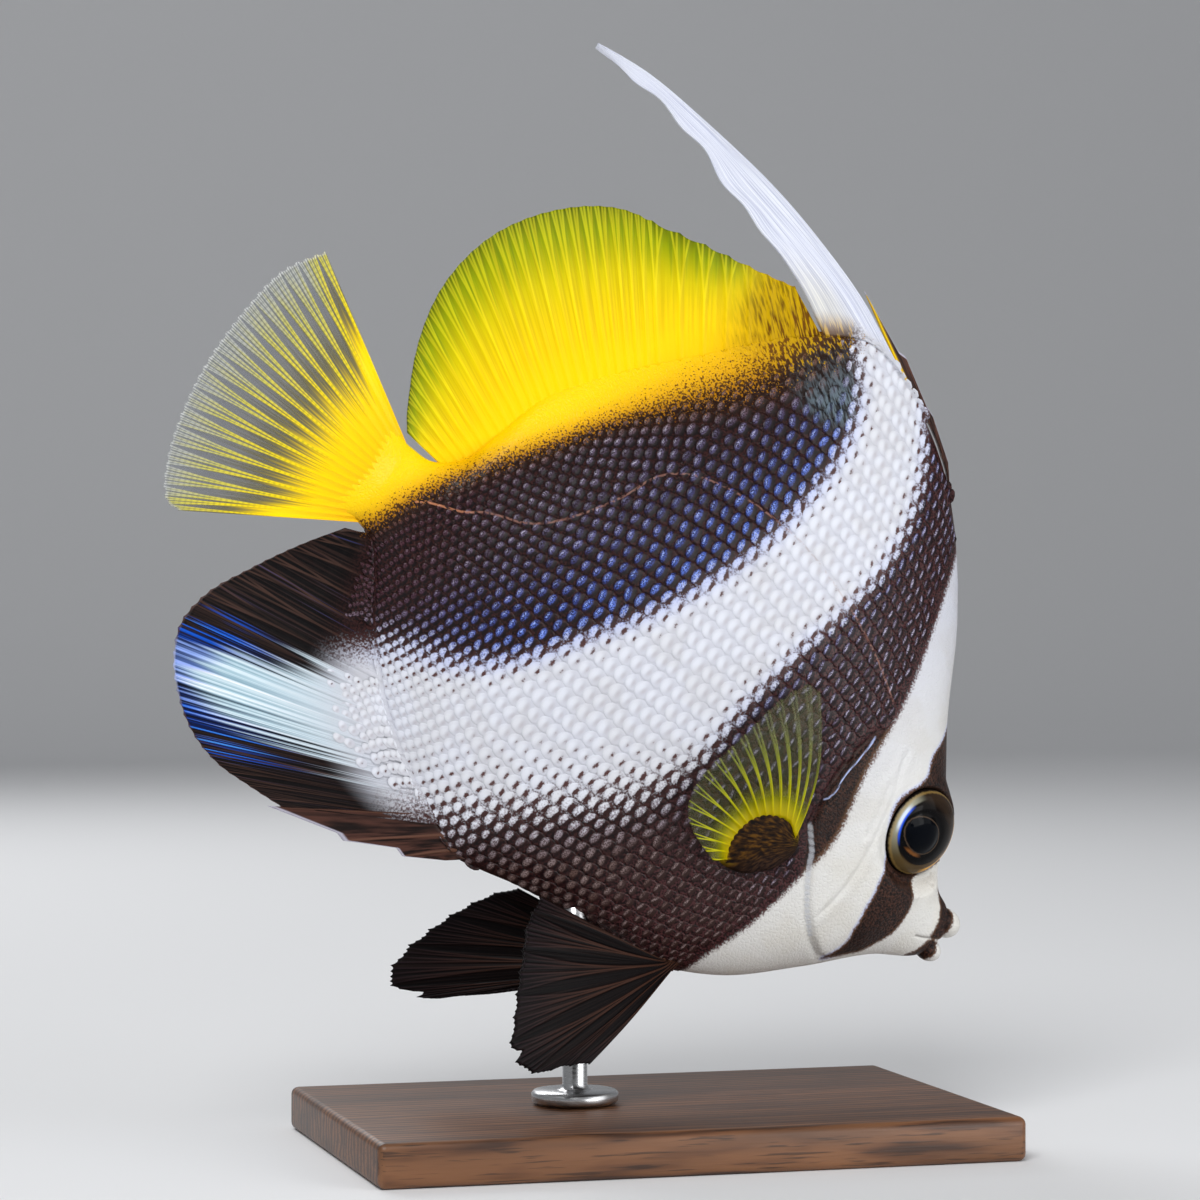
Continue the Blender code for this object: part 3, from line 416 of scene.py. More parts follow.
def paint(code):
    # sRGB hex to the linear colour that a shader takes
    parts = [int(code[i:i + 2], 16) / 255 for i in (1, 3, 5)]
    return tuple(c / 12.92 if c <= 0.04045 else ((c + 0.055) / 1.055) ** 2.4 for c in parts) + (1.0,)


def plug(tree, node, inputs):
    # links a node's inputs, or sets them; a colour is given by its hex code
    for key, value in inputs.items():
        if isinstance(value, bpy.types.NodeSocket):
            tree.links.new(value, node.inputs[key])
        else:
            node.inputs[key].default_value = paint(value) if isinstance(value, str) else value


colors = {"out": 2, "data_type": "RGBA"}                # a Mix of two colours
smooth = {"interpolation_type": "SMOOTHSTEP"}           # a MapRange with soft ends


def addNode(tree, kind, inputs=None, out=0, stops=None, **settings):
    # adds a node with its settings and its inputs, and returns one output
    node = tree.nodes.new("ShaderNode" + kind)
    for name, value in settings.items():
        setattr(node, name, value)
    plug(tree, node, inputs or {})
    if stops:
        ramp = node.color_ramp
        while len(ramp.elements) < len(stops):
            ramp.elements.new(0.5)
        for element, (place, code) in zip(ramp.elements, stops):
            element.position, element.color = place, paint(code)
    return node.outputs[out]


def newFinish(name):
    finish = bpy.data.materials.new(name)
    finish.use_nodes = True
    tree = finish.node_tree
    return finish, tree, tree.nodes["Principled BSDF"]


def bodyPaint(tree):
    # the fish's markings in colour, with painted shade and sheen on its scales; returns the colour, the masks of
    # dark and yellow, and the specks
    place = addNode(tree, "TexCoord", out="Object")
    names = ("dark", "gold", "blue", "slate", "scaleP", "scaleQ", "seed", "warm", "headSkin", "rear", "face",
        "slender", "belly")
    dark, gold, blue, slate, p, q, seed, warm, headSkin, rear, face, slender, belly = (
        addNode(tree, "Attribute", out="Fac", attribute_name=name) for name in names)
    # pigment cells 0.35 mm apart
    speck = addNode(tree, "TexNoise", {"Vector": place, "Scale": 2900.0, "Detail": 2.0})
    # and their 0.2 mm glitter
    grit = addNode(tree, "TexNoise", {"Vector": place, "Scale": 5200.0, "Detail": 1.0})
    # 6 mm drift of tone
    cloud = addNode(tree, "TexNoise", {"Vector": place, "Scale": 160.0, "Detail": 2.0})
    brushed = addNode(tree, "Mapping",
        {"Vector": place, "Rotation": (0.0, -0.25, 0.0), "Scale": (1 / 2400, 1 / 2400, 1 / 330)},
        vector_type="TEXTURE")
    # streaks 0.4 mm wide, 3 mm long
    streak = addNode(tree, "TexNoise", {"Vector": brushed, "Scale": 1.0, "Detail": 2.0})

    # places on a scale: p runs to its free edge and q across; its crest is an oval, and a dark pit lies before
    # that, partly a pigment dot and partly painted shade where the scale dips under the one before
    def ovalAt(middle, halfP, halfQ):
        along = addNode(tree, "Math", {0: p, 1: 1 / halfP, 2: -middle / halfP}, operation="MULTIPLY_ADD")
        over = addNode(tree, "Math", {0: q, 1: 1 / halfQ}, operation="MULTIPLY")
        return addNode(tree, "VectorMath", {0: addNode(tree, "CombineXYZ", {0: along, 1: over})}, out="Value",
            operation="LENGTH")
    whole = ovalAt(0.46, 0.46, 0.88)
    crest = addNode(tree, "MapRange", {0: whole, 1: 1.15, 2: 0.6}, **smooth)
    broad = addNode(tree, "MapRange", {0: ovalAt(0.50, 0.40, 0.92), 1: 1.1, 2: 0.5}, **smooth)
    narrow = addNode(tree, "MapRange", {0: ovalAt(0.62, 0.20, 0.98), 1: 1.15, 2: 0.3}, **smooth)
    # painted sheen: the crests' glitter is kept to their tail side, the side the light falls on
    crestSheen = addNode(tree, "Mix", {0: slender, 2: broad, 3: narrow}, out=0)
    # painted glint: a small highlight along the middle of each crest
    glint = addNode(tree, "MapRange", {0: ovalAt(0.58, 0.13, 0.55), 1: 1.2, 2: 0.3}, **smooth)
    # painted shade: the dark before each crest, where the scale runs under its neighbour
    before = addNode(tree, "Mix", {0: slender, 2: ovalAt(-0.02, 0.30, 0.75), 3: ovalAt(0.24, 0.28, 0.80)},
        out=0)
    shade = addNode(tree, "MapRange", {0: before, 1: 1.2, 2: 0.5}, **smooth)
    pit = addNode(tree, "MapRange", {0: ovalAt(-0.12, 0.27, 0.48), 1: 1.5, 2: 0.0}, **smooth)

    # painted shading of the white scales: lighter on the crests, greyer round them
    white = addNode(tree, "Mix",
        {0: addNode(tree, "MapRange", {0: whole, 1: 1.4, 2: 0.2}, **smooth), 6: "#C6C8D2", 7: "#DADDE6"},
        **colors)
    white = addNode(tree, "Mix", {0: face, 6: white, 7: "#DBDAD6"}, **colors)
    white = addNode(tree, "Mix",
        {0: addNode(tree, "MapRange", {0: cloud, 1: 0.42, 2: 0.62, 3: 0.0, 4: 0.35}, **smooth), 6: white,
        7: "#F2EEE6"}, **colors, blend_type="MULTIPLY")
    # painted shade: a faint dark tint in the pits of the white scales
    white = addNode(tree, "Mix",
        {0: addNode(tree, "Math", {0: pit, 1: 0.4}, operation="MULTIPLY"), 6: white, 7: "#A89FA4"}, **colors)

    # dark scales: brown rims, painted shade near black before each crest, and crests that glitter lilac or blue,
    # their speckle partly pigment and partly painted sheen and glints
    glitter = addNode(tree, "Math",
        {0: addNode(tree, "MapRange", {0: grit, 1: 0.38, 2: 0.60, 3: 0.1, 4: 1.0}, **smooth), 1: crestSheen},
        operation="MULTIPLY")
    lilac = addNode(tree, "Mix",
        {0: slender, 6: addNode(tree, "Mix", {0: seed, 6: "#3C2F3A", 7: "#64586E"}, **colors),
        7: addNode(tree, "Mix", {0: seed, 6: "#5C4E62", 7: "#938AA4"}, **colors)}, **colors)
    # painted highlights: pale and blue glints on the crests
    lit = addNode(tree, "Math",
        {0: glint, 1: addNode(tree, "MapRange", {0: grit, 1: 0.42, 2: 0.56}, **smooth)}, operation="MULTIPLY")
    brownCrest = addNode(tree, "Mix", {0: glitter, 6: "#1C1114", 7: lilac}, **colors)
    brownCrest = addNode(tree, "Mix",
        {0: addNode(tree, "Math", {0: lit, 1: seed}, operation="MULTIPLY"), 6: brownCrest, 7: "#A8A2B4"},
        **colors)
    blueCrest = addNode(tree, "Mix",
        {0: glitter, 6: "#1A1430", 7: addNode(tree, "Mix", {0: seed, 6: "#2C4088", 7: "#4C6CCC"}, **colors)},
        **colors)
    blueCrest = addNode(tree, "Mix",
        {0: addNode(tree, "Math", {0: lit, 1: 0.8}, operation="MULTIPLY"), 6: blueCrest, 7: "#9CB4F6"},
        **colors)
    crestPaint = addNode(tree, "Mix", {0: blue, 6: brownCrest, 7: blueCrest}, **colors)
    dull = addNode(tree, "Mix",
        {0: glitter, 6: "#33221F", 7: addNode(tree, "Mix", {0: seed, 6: "#5E4740", 7: "#85716C"}, **colors)},
        **colors)
    crestPaint = addNode(tree, "Mix",
        {0: addNode(tree, "Math", {0: belly, 1: 0.9}, operation="MULTIPLY"), 6: crestPaint, 7: dull},
        **colors)
    crestPaint = addNode(tree, "Mix",
        {0: addNode(tree, "Math", {0: rear, 1: 0.85}, operation="MULTIPLY"), 6: crestPaint,
        7: addNode(tree, "Mix", {0: glitter, 6: "#220D12", 7: "#4C2C34"}, **colors)}, **colors)
    gap = addNode(tree, "Mix",
        {0: addNode(tree, "MapRange", {0: speck, 1: 0.38, 2: 0.62}, **smooth), 6: "#160B0C",
        7: addNode(tree, "Mix", {0: slender, 6: "#341B1A", 7: "#47292A"}, **colors)}, **colors)
    # painted shade: the gaps darken to near black before each crest
    gap = addNode(tree, "Mix",
        {0: addNode(tree, "Math",
        {0: shade, 1: addNode(tree, "MapRange", {0: belly, 1: 0.0, 2: 1.0, 3: 0.9, 4: 0.5}, **smooth)},
        operation="MULTIPLY"), 6: gap, 7: "#0C0609"}, **colors)
    darkPaint = addNode(tree, "Mix", {0: crest, 6: gap, 7: crestPaint}, **colors)
    slatePaint = addNode(tree, "Mix",
        {0: addNode(tree, "MapRange", {0: streak, 1: 0.40, 2: 0.60}, **smooth), 6: "#12181B", 7: "#62727C"},
        **colors)
    darkPaint = addNode(tree, "Mix",
        {0: addNode(tree, "MapRange", {0: slate, 1: 0.05, 2: 0.6, 3: 0.0, 4: 0.85}, **smooth), 6: darkPaint,
        7: slatePaint}, **colors)
    darkPaint = addNode(tree, "Mix",
        {0: addNode(tree, "MapRange", {0: gold, 1: -2.6, 2: -0.4, 3: 0.0, 4: 0.8}, **smooth), 6: darkPaint,
        7: addNode(tree, "Mix", {0: glitter, 6: "#261206", 7: "#6A4A38"}, **colors)}, **colors)
    darkPaint = addNode(tree, "Mix",
        {0: addNode(tree, "MapRange", {0: gold, 1: -0.6, 2: 1.0}, **smooth), 6: darkPaint, 7: "#6B4200"},
        **colors)
    headPaint = addNode(tree, "Mix",
        {0: addNode(tree, "MapRange", {0: speck, 1: 0.40, 2: 0.64}, **smooth), 6: "#120907", 7: "#442A20"},
        **colors)
    headPaint = addNode(tree, "Mix",
        {0: addNode(tree, "MapRange", {0: cloud, 1: 0.45, 2: 0.65, 3: 0.0, 4: 0.5}, **smooth), 6: headPaint,
        7: "#1A0F0E"}, **colors)
    headPaint = addNode(tree, "Mix",
        {0: addNode(tree, "MapRange", {0: dark, 1: 1.6, 2: 0.3, 3: 0.0, 4: 0.35}, **smooth), 6: headPaint,
        7: "#7A5630"}, **colors)
    darkPaint = addNode(tree, "Mix", {0: headSkin, 6: darkPaint, 7: headPaint}, **colors)

    # at a border the crests pale first, and the dark shrinks to the pits, row by row
    ragged = addNode(tree, "MapRange", {0: speck, 1: 0.3, 2: 0.7, 3: -0.45, 4: 0.45}, **smooth)
    level = addNode(tree, "Math", {0: pit, 1: 1.7, 2: dark}, operation="MULTIPLY_ADD")
    level = addNode(tree, "Math", {0: crest, 1: -0.7, 2: level}, operation="MULTIPLY_ADD")
    level = addNode(tree, "Math", {0: level, 1: ragged}, operation="ADD")
    darkMask = addNode(tree, "MapRange", {0: level, 1: -0.8, 2: 0.6}, **smooth)
    darkPaint = addNode(tree, "Mix",
        {0: addNode(tree, "MapRange", {0: dark, 1: 1.2, 2: -1.0, 3: 0.0, 4: 0.85}, **smooth), 6: darkPaint,
        7: "#5A3C3A"}, **colors)
    bloomPaint = addNode(tree, "Mix", {0: blue, 6: "#A49CAC", 7: "#7C94E4"}, **colors)
    bloom = addNode(tree, "Math",
        {0: addNode(tree, "MapRange", {0: dark, 1: 2.4, 2: 0.0, 3: 0.0, 4: 0.85}, **smooth), 1: glitter},
        operation="MULTIPLY")
    darkPaint = addNode(tree, "Mix", {0: bloom, 6: darkPaint, 7: bloomPaint}, **colors)
    bloom = addNode(tree, "Math",
        {0: addNode(tree, "MapRange", {0: dark, 1: -2.2, 2: 0.4, 3: 0.0, 4: 0.65}, **smooth), 1: blue},
        operation="MULTIPLY")
    white = addNode(tree, "Mix", {0: bloom, 6: white, 7: "#A9B6E6"}, **colors)
    color = addNode(tree, "Mix", {0: darkMask, 6: white, 7: darkPaint}, **colors)

    # yellow breaks into specks at its lower border, and into streaks at the front of the fin
    fray = addNode(tree, "MapRange", {0: speck, 1: 0.3, 2: 0.7, 3: -1.6, 4: 1.6})
    drawn = addNode(tree, "MapRange", {0: streak, 1: 0.3, 2: 0.7, 3: -2.4, 4: 1.6})
    fray = addNode(tree, "Mix", {0: warm, 2: fray, 3: drawn}, out=0)
    goldEdge = addNode(tree, "Math", {0: gold, 1: fray}, operation="ADD")
    goldPaint = addNode(tree, "MapRange", {0: gold, 1: -1.5, 2: 3.0})
    goldPaint = addNode(tree, "ValToRGB", {0: goldPaint},
        stops=[(0.0, "#6A3A00"), (0.3, "#A87000"), (0.5, "#DCA400"), (0.75, "#F5C600"), (1.0, "#F7D200")])
    dusk = addNode(tree, "Mix",
        {0: addNode(tree, "MapRange", {0: streak, 1: 0.36, 2: 0.60}, **smooth), 6: "#4A3000", 7: "#B08C00"},
        **colors)
    goldPaint = addNode(tree, "Mix",
        {0: addNode(tree, "Math", {0: warm, 1: 0.8}, operation="MULTIPLY"), 6: goldPaint, 7: dusk}, **colors)
    goldMask = addNode(tree, "MapRange", {0: goldEdge, 1: -0.3, 2: 0.5}, **smooth)
    color = addNode(tree, "Mix", {0: goldMask, 6: color, 7: goldPaint}, **colors)
    return color, darkMask, goldMask, speck


def fishSkinFinish():
    # lacquered painted resin over a cast: a wet look, satin under a thin clear coat
    finish, tree, shader = newFinish("paintedCastSkin")
    color, _, _, speck = bodyPaint(tree)
    place = addNode(tree, "TexCoord", out="Object")
    groove = addNode(tree, "Attribute", out="Fac", attribute_name="groove")
    coverLine = addNode(tree, "Attribute", out="Fac", attribute_name="coverLine")
    rimFlap = addNode(tree, "Attribute", out="Fac", attribute_name="rimFlap")
    color = addNode(tree, "Mix",
        {0: addNode(tree, "MapRange", {0: rimFlap, 1: 0.20, 2: 0.50, 3: 0.6, 4: 0.0}, **smooth), 6: color,
        7: "#D0D4DC"}, **colors)
    # painted highlight: a pale blue line along the raised edge of the gill cover
    color = addNode(tree, "Mix",
        {0: addNode(tree, "MapRange", {0: coverLine, 1: 0.06, 2: 0.20, 3: 0.85, 4: 0.0}, **smooth), 6: color,
        7: "#B4C2EE"}, **colors)
    # painted shade in the creases: the mouth line, the nostrils, the gill slit and the eye's rim
    color = addNode(tree, "Mix", {0: groove, 6: color, 7: "#3A2A22"}, **colors)
    # 0.7 mm net of the cheek
    cells = addNode(tree, "TexVoronoi", {"Vector": place, "Scale": 1500.0}, feature="DISTANCE_TO_EDGE")
    cells = addNode(tree, "MapRange", {0: cells, 1: 0.0, 2: 0.25})
    fine = addNode(tree, "TexNoise", {"Vector": place, "Scale": 900.0, "Detail": 4.0})
    height = addNode(tree, "Math", {0: cells, 1: fine, 2: 0.0}, operation="ADD")
    bump = addNode(tree, "Bump", {"Strength": 0.5, "Distance": 0.00008, "Height": height})
    rough = addNode(tree, "MapRange", {0: speck, 1: 0.3, 2: 0.7, 3: 0.34, 4: 0.50})
    plug(tree, shader, {"Base Color": color, "Roughness": rough, "Normal": bump, "Specular IOR Level": 0.16,
        "Coat Weight": 0.05, "Coat Roughness": 0.15})
    return finish


def scaleFinish():
    # lacquered painted scales: each crest takes a small bright highlight
    finish, tree, shader = newFinish("lacqueredScales")
    color, darkMask, _, _ = bodyPaint(tree)
    place = addNode(tree, "TexCoord", out="Object")
    lateral = addNode(tree, "Attribute", out="Fac", attribute_name="lateral")
    rear = addNode(tree, "Attribute", out="Fac", attribute_name="rear")
    thread = addNode(tree, "MapRange", {0: lateral, 1: 0.08, 2: 0.26, 3: 1.0, 4: 0.0}, **smooth)
    thread = addNode(tree, "Math",
        {0: thread, 1: addNode(tree, "MapRange", {0: darkMask, 1: 0.0, 2: 1.0, 3: 0.25, 4: 0.6}, **smooth)},
        operation="MULTIPLY")
    color = addNode(tree, "Mix",
        {0: thread, 6: color, 7: addNode(tree, "Mix",
        {0: addNode(tree, "MapRange", {0: rear, 1: 0.5, 2: 1.0}, **smooth), 6: "#946A5E", 7: "#D08A64"},
        **colors)}, **colors)
    rough = addNode(tree, "MapRange", {0: darkMask, 3: 0.42, 4: 0.30})
    fine = addNode(tree, "TexNoise", {"Vector": place, "Scale": 3500.0, "Detail": 2.0})
    bump = addNode(tree, "Bump", {"Strength": 0.25, "Distance": 0.00006, "Height": fine})
    plug(tree, shader, {"Base Color": color, "Roughness": rough, "Normal": bump, "Specular IOR Level": 0.16,
        "Coat Weight": 0.02, "Coat Roughness": 0.15})
    return finish


# The skin


def eyeFrame(side):
    turn = math.radians(eye["forward"])
    centre = np.array(eye["centre"]) * (1, 1, side)
    forward = np.array([math.cos(turn), 0.0, math.sin(turn) * side])
    facing = np.array([-math.sin(turn), 0.0, math.cos(turn) * side])
    return centre, forward, np.array([0.0, 1.0, 0.0]), facing


def shapeLips(points):
    # flesh is drawn out from a point inside the snout until it covers each lip's oval
    for centre, radii in (head["upperLip"], head["lowerLip"]):
        origin = (np.array(centre) + (head["lipRoot"], 0.0, 0.0)) / radii
        away = points / radii - origin
        reach = np.linalg.norm(away, axis=1)
        away /= np.maximum(reach, 1e-6)[:, None]
        middle = np.array(centre) / radii - origin
        along = away @ middle
        inside = 1.0 - (middle @ middle - along ** 2)
        far = along + np.sqrt(np.maximum(inside, 0.0))
        grown = np.where(inside > 0, np.maximum(reach, far), reach)
        points = (origin + away * grown[:, None]) * radii
    return points


def shapeEyeSockets(points):
    rim = np.zeros(len(points))
    for side in (1, -1):
        centre, forward, up, facing = eyeFrame(side)
        away = points - centre
        a, b, c = away @ forward, away @ up, away @ facing
        reach = np.hypot(a, b)
        near = (c > -4.0) & (points[:, 2] * side > 0)
        level = np.clip(c, 0.0, 0.35)
        collar = 1 - ease(reach, eye["radius"] + 0.1, eye["radius"] + 3.0)
        target = c + (level - c) * collar
        target += 0.28 * np.exp(-((reach - eye["radius"] - 0.55) / 0.4) ** 2)
        pit = level - np.clip((eye["radius"] + 0.1 - reach) * 2.6, 0, 4.2)
        target = np.where(reach < eye["radius"] + 0.1, pit, target)
        points = points + np.where(near, target - c, 0.0)[:, None] * facing
        rim = np.maximum(rim, np.where(near, np.exp(-((reach - eye["radius"] - 0.02) / 0.22) ** 2), 0.0))
    return points, rim


def makeSkin(finish):
    bm = bmesh.new()
    bmesh.ops.create_uvsphere(bm, u_segments=body["around"], v_segments=body["along"], radius=1.0)
    mesh = meshFrom(bm, "fishSkin")
    unit = pointsOf(mesh)
    row = np.rint(np.arccos(np.clip(unit[:, 2], -1, 1)) / math.pi * body["along"])
    x = np.clip(row / (body["along"] - 1), 0, 1)
    share = body["flareEnd"] * (0.62 * x ** 2 + 0.38 * x)      # rows crowd to the head
    angle = np.arctan2(unit[:, 1], unit[:, 0])
    turn = angle - 0.3 * np.sin(2 * angle)                     # and columns to the flanks
    points = skinAt(share, turn)
    points[row == 0] = (*body["back"][0], 0.0)
    points[row == body["along"]] = (np.array(body["back"][-1]) + body["belly"][-1]).tolist() + [0.0]
    points[row == body["along"]] *= 0.5
    points[row == body["along"], 0] += body["flareReach"]
    setPoints(mesh, points)
    points = points - normalsOf(mesh) * body["inset"] * ease(share, 0.0, 0.06)[:, None]
    points = shapeLips(points)
    setPoints(mesh, points)

    # gill covers: a flap proud of the trunk, with a slit behind it
    normals = normalsOf(mesh)
    fromMiddle = points[:, :2] - np.array(head["gillCentre"])
    bearing = np.degrees(np.arctan2(fromMiddle[:, 1], fromMiddle[:, 0]))
    within = loopDepth(points, head["gillEdge"] + [(10.0, -12.0), (10.0, 5.0), (20.0, 14.0)]) > 0
    inward = np.where(within, 1.0, -1.0) * lineDistance(points, head["gillEdge"])
    window = ease(bearing, head["gillFoot"] - 6,
        head["gillFoot"] + 6) * (1 - ease(bearing, head["gillTop"] - 2, head["gillTop"] + 5))
    flap = ease(inward, 0.0, 0.35) * 0.4 * (1 - 0.7 * ease(inward, 1.0, 7.0))
    slit = -0.55 * np.exp(-((inward + 0.4) / 0.4) ** 2)
    height = window * (flap + slit)
    for line in head["cheekCreases"]:
        crease = lineDistance(points, line)
        height += -0.16 * np.exp(-(crease / 0.35) ** 2) + 0.10 * np.exp(-((crease - 1.1) / 0.7) ** 2)
    jaw = lineDistance(points, head["jawCrease"])
    height -= 0.3 * np.exp(-(jaw / 0.22) ** 2)
    coverLine = lineDistance(points, head["coverLine"])
    rimFlap = lineDistance(points, head["rimFlap"])
    height += 0.20 * np.exp(-(coverLine / 0.2) ** 2) + 0.18 * np.exp(-(rimFlap / 0.35) ** 2)
    for (u, v), radius in head["nostrils"]:
        away = np.hypot(points[:, 0] - u, points[:, 1] - v)
        height += 0.10 * np.exp(-((away - radius - 0.2) / 0.2) ** 2) - 0.3 * np.exp(-(away / (radius * 0.7)) ** 2)
    points = points + normals * height[:, None]
    points, socket = shapeEyeSockets(points)

    # painted shade for the creases: the mouth line, the nostril pits, the gill slit and the eye's rim
    mouth = np.exp(-(jaw / 0.16) ** 2)
    pits = np.zeros(len(points))
    for (u, v), radius in head["nostrils"]:
        pits = np.maximum(pits, 0.2 * np.exp(-(np.hypot(points[:, 0] - u,
            points[:, 1] - v) / (radius * 0.7)) ** 4))
    slitShade = window * np.exp(-((inward + 0.3) / 0.22) ** 2) * (0.12 + 0.5 * ease(bearing, -10, 6))
    groove = np.clip(np.maximum(np.maximum(mouth * 0.6, pits), np.maximum(slitShade, socket * 0.85)), 0, 1)
    wearMarks(mesh, points, groove=groove, coverLine=coverLine, rimFlap=rimFlap,
        scaleP=np.full(len(points), bareSkin[0]),
              scaleQ=np.full(len(points), bareSkin[1]), seed=np.full(len(points), 0.5))
    setPoints(mesh, toWorld(points))
    nodes = ("head", "lower_jaw", "gill_cover_left", "gill_cover_right", "trunk", "tail_peduncle")
    addPiece("fishSkin", mesh, finish, nodes)
    print("skin:", len(mesh.polygons), "faces")


# The scales

coat = {
    "rowGap": 2.85,        # across the flank at its deepest, mm
    "step": 2.08,          # along a row
    "length": 1.56,        # of a scale, in steps
    "width": 1.18,         # of a scale, in row gaps
    "ridge": 0.24,         # mm that its crest stands up
    "tilt": 0.04,          # mm that its free edge stands up
    "rows": 26,
    "patch": 0.0015,      # half a scale's patch on the unwrap of the flank
    "seed": 7,
}


def scaleTemplate():
    # rings of one scale, from its middle out to its rim: the top half of a coarse sphere, laid flat
    bm = bmesh.new()
    bmesh.ops.create_uvsphere(bm, u_segments=12, v_segments=8, radius=1.0)
    low = [vert for vert in bm.verts if vert.co.z < -0.05]
    bmesh.ops.delete(bm, geom=low, context="VERTS")
    bm.verts.ensure_lookup_table()
    points = np.array([vert.co[:2] for vert in bm.verts])
    faces = [[vert.index for vert in face.verts] for face in bm.faces]
    bm.free()
    reach = np.linalg.norm(points, axis=1)
    wanted = np.interp(reach, [0.0, 0.383, 0.707, 0.924, 1.0], [0.0, 0.42, 0.74, 0.96, 1.0])
    return points * (wanted / np.maximum(reach, 1e-6))[:, None], faces


def rowArc(station, row):
    # how far above the axis a row runs: closer together to the tail and to the belly's edge
    depth = np.interp(station, stationGrid, topArc + bottomArc) / (topArc + bottomArc).max()
    spacing = coat["rowGap"] * np.where(station < 62, depth,
        depth ** 0.45) * (1 - 0.22 * ease(station, 82, 102))
    arc = row * spacing
    low = np.minimum(-arc / np.interp(station, stationGrid, bottomArc), 1.25)
    return np.where(arc < 0, arc * (1 - 0.10 * low ** 2), arc)


def scalePlaces():
    # the root places of one flank's scales: station, row and step
    stations = np.linspace(26.0, 121.0, 1600)
    found = []
    for k in range(-coat["rows"], coat["rows"] + 1):
        arc = rowArc(stations, k)
        limit = edgeArc(stations, arc + 1e-6)
        line = flankAt(stations, np.clip(arc, -limit, limit))
        ahead = np.linalg.norm(np.diff(line, axis=0), axis=1)
        nearNape = ease(limit - np.abs(arc), 12.0, 0.0) * ease(stations, 66, 50) * (k > 0)
        step = coat["step"] * (1 - 0.22 * ease(stations, 82,
            106)) * (1 - 0.14 * nearNape) * (0.72 + 0.28 * ease(stations, 34, 54))
        phase = np.concatenate([[0.0], np.cumsum(ahead / step[1:])])
        phase -= np.interp(70.0, stations, phase)
        wanted = np.arange(math.ceil(phase[0]), math.floor(phase[-1])) + 0.5 * (k % 2)
        station = np.interp(wanted, phase, stations)
        # on the anal fin's root they thin out raggedly
        reach = np.where(k > 0, 0.0,
            (9.0 + 4.0 * np.sin(station * 7.9 + k * 2.4)) * ease(station, 84,
            94) * (1 - ease(station, 112, 118)))
        keep = np.abs(rowArc(station, k)) < edgeArc(station, rowArc(station, k) + 1e-6) - 0.4 + reach
        station = station[keep]
        found.append(np.stack([station, np.full(len(station), k), np.interp(station, stations, step)],
            axis=1))
    return np.vstack(found)


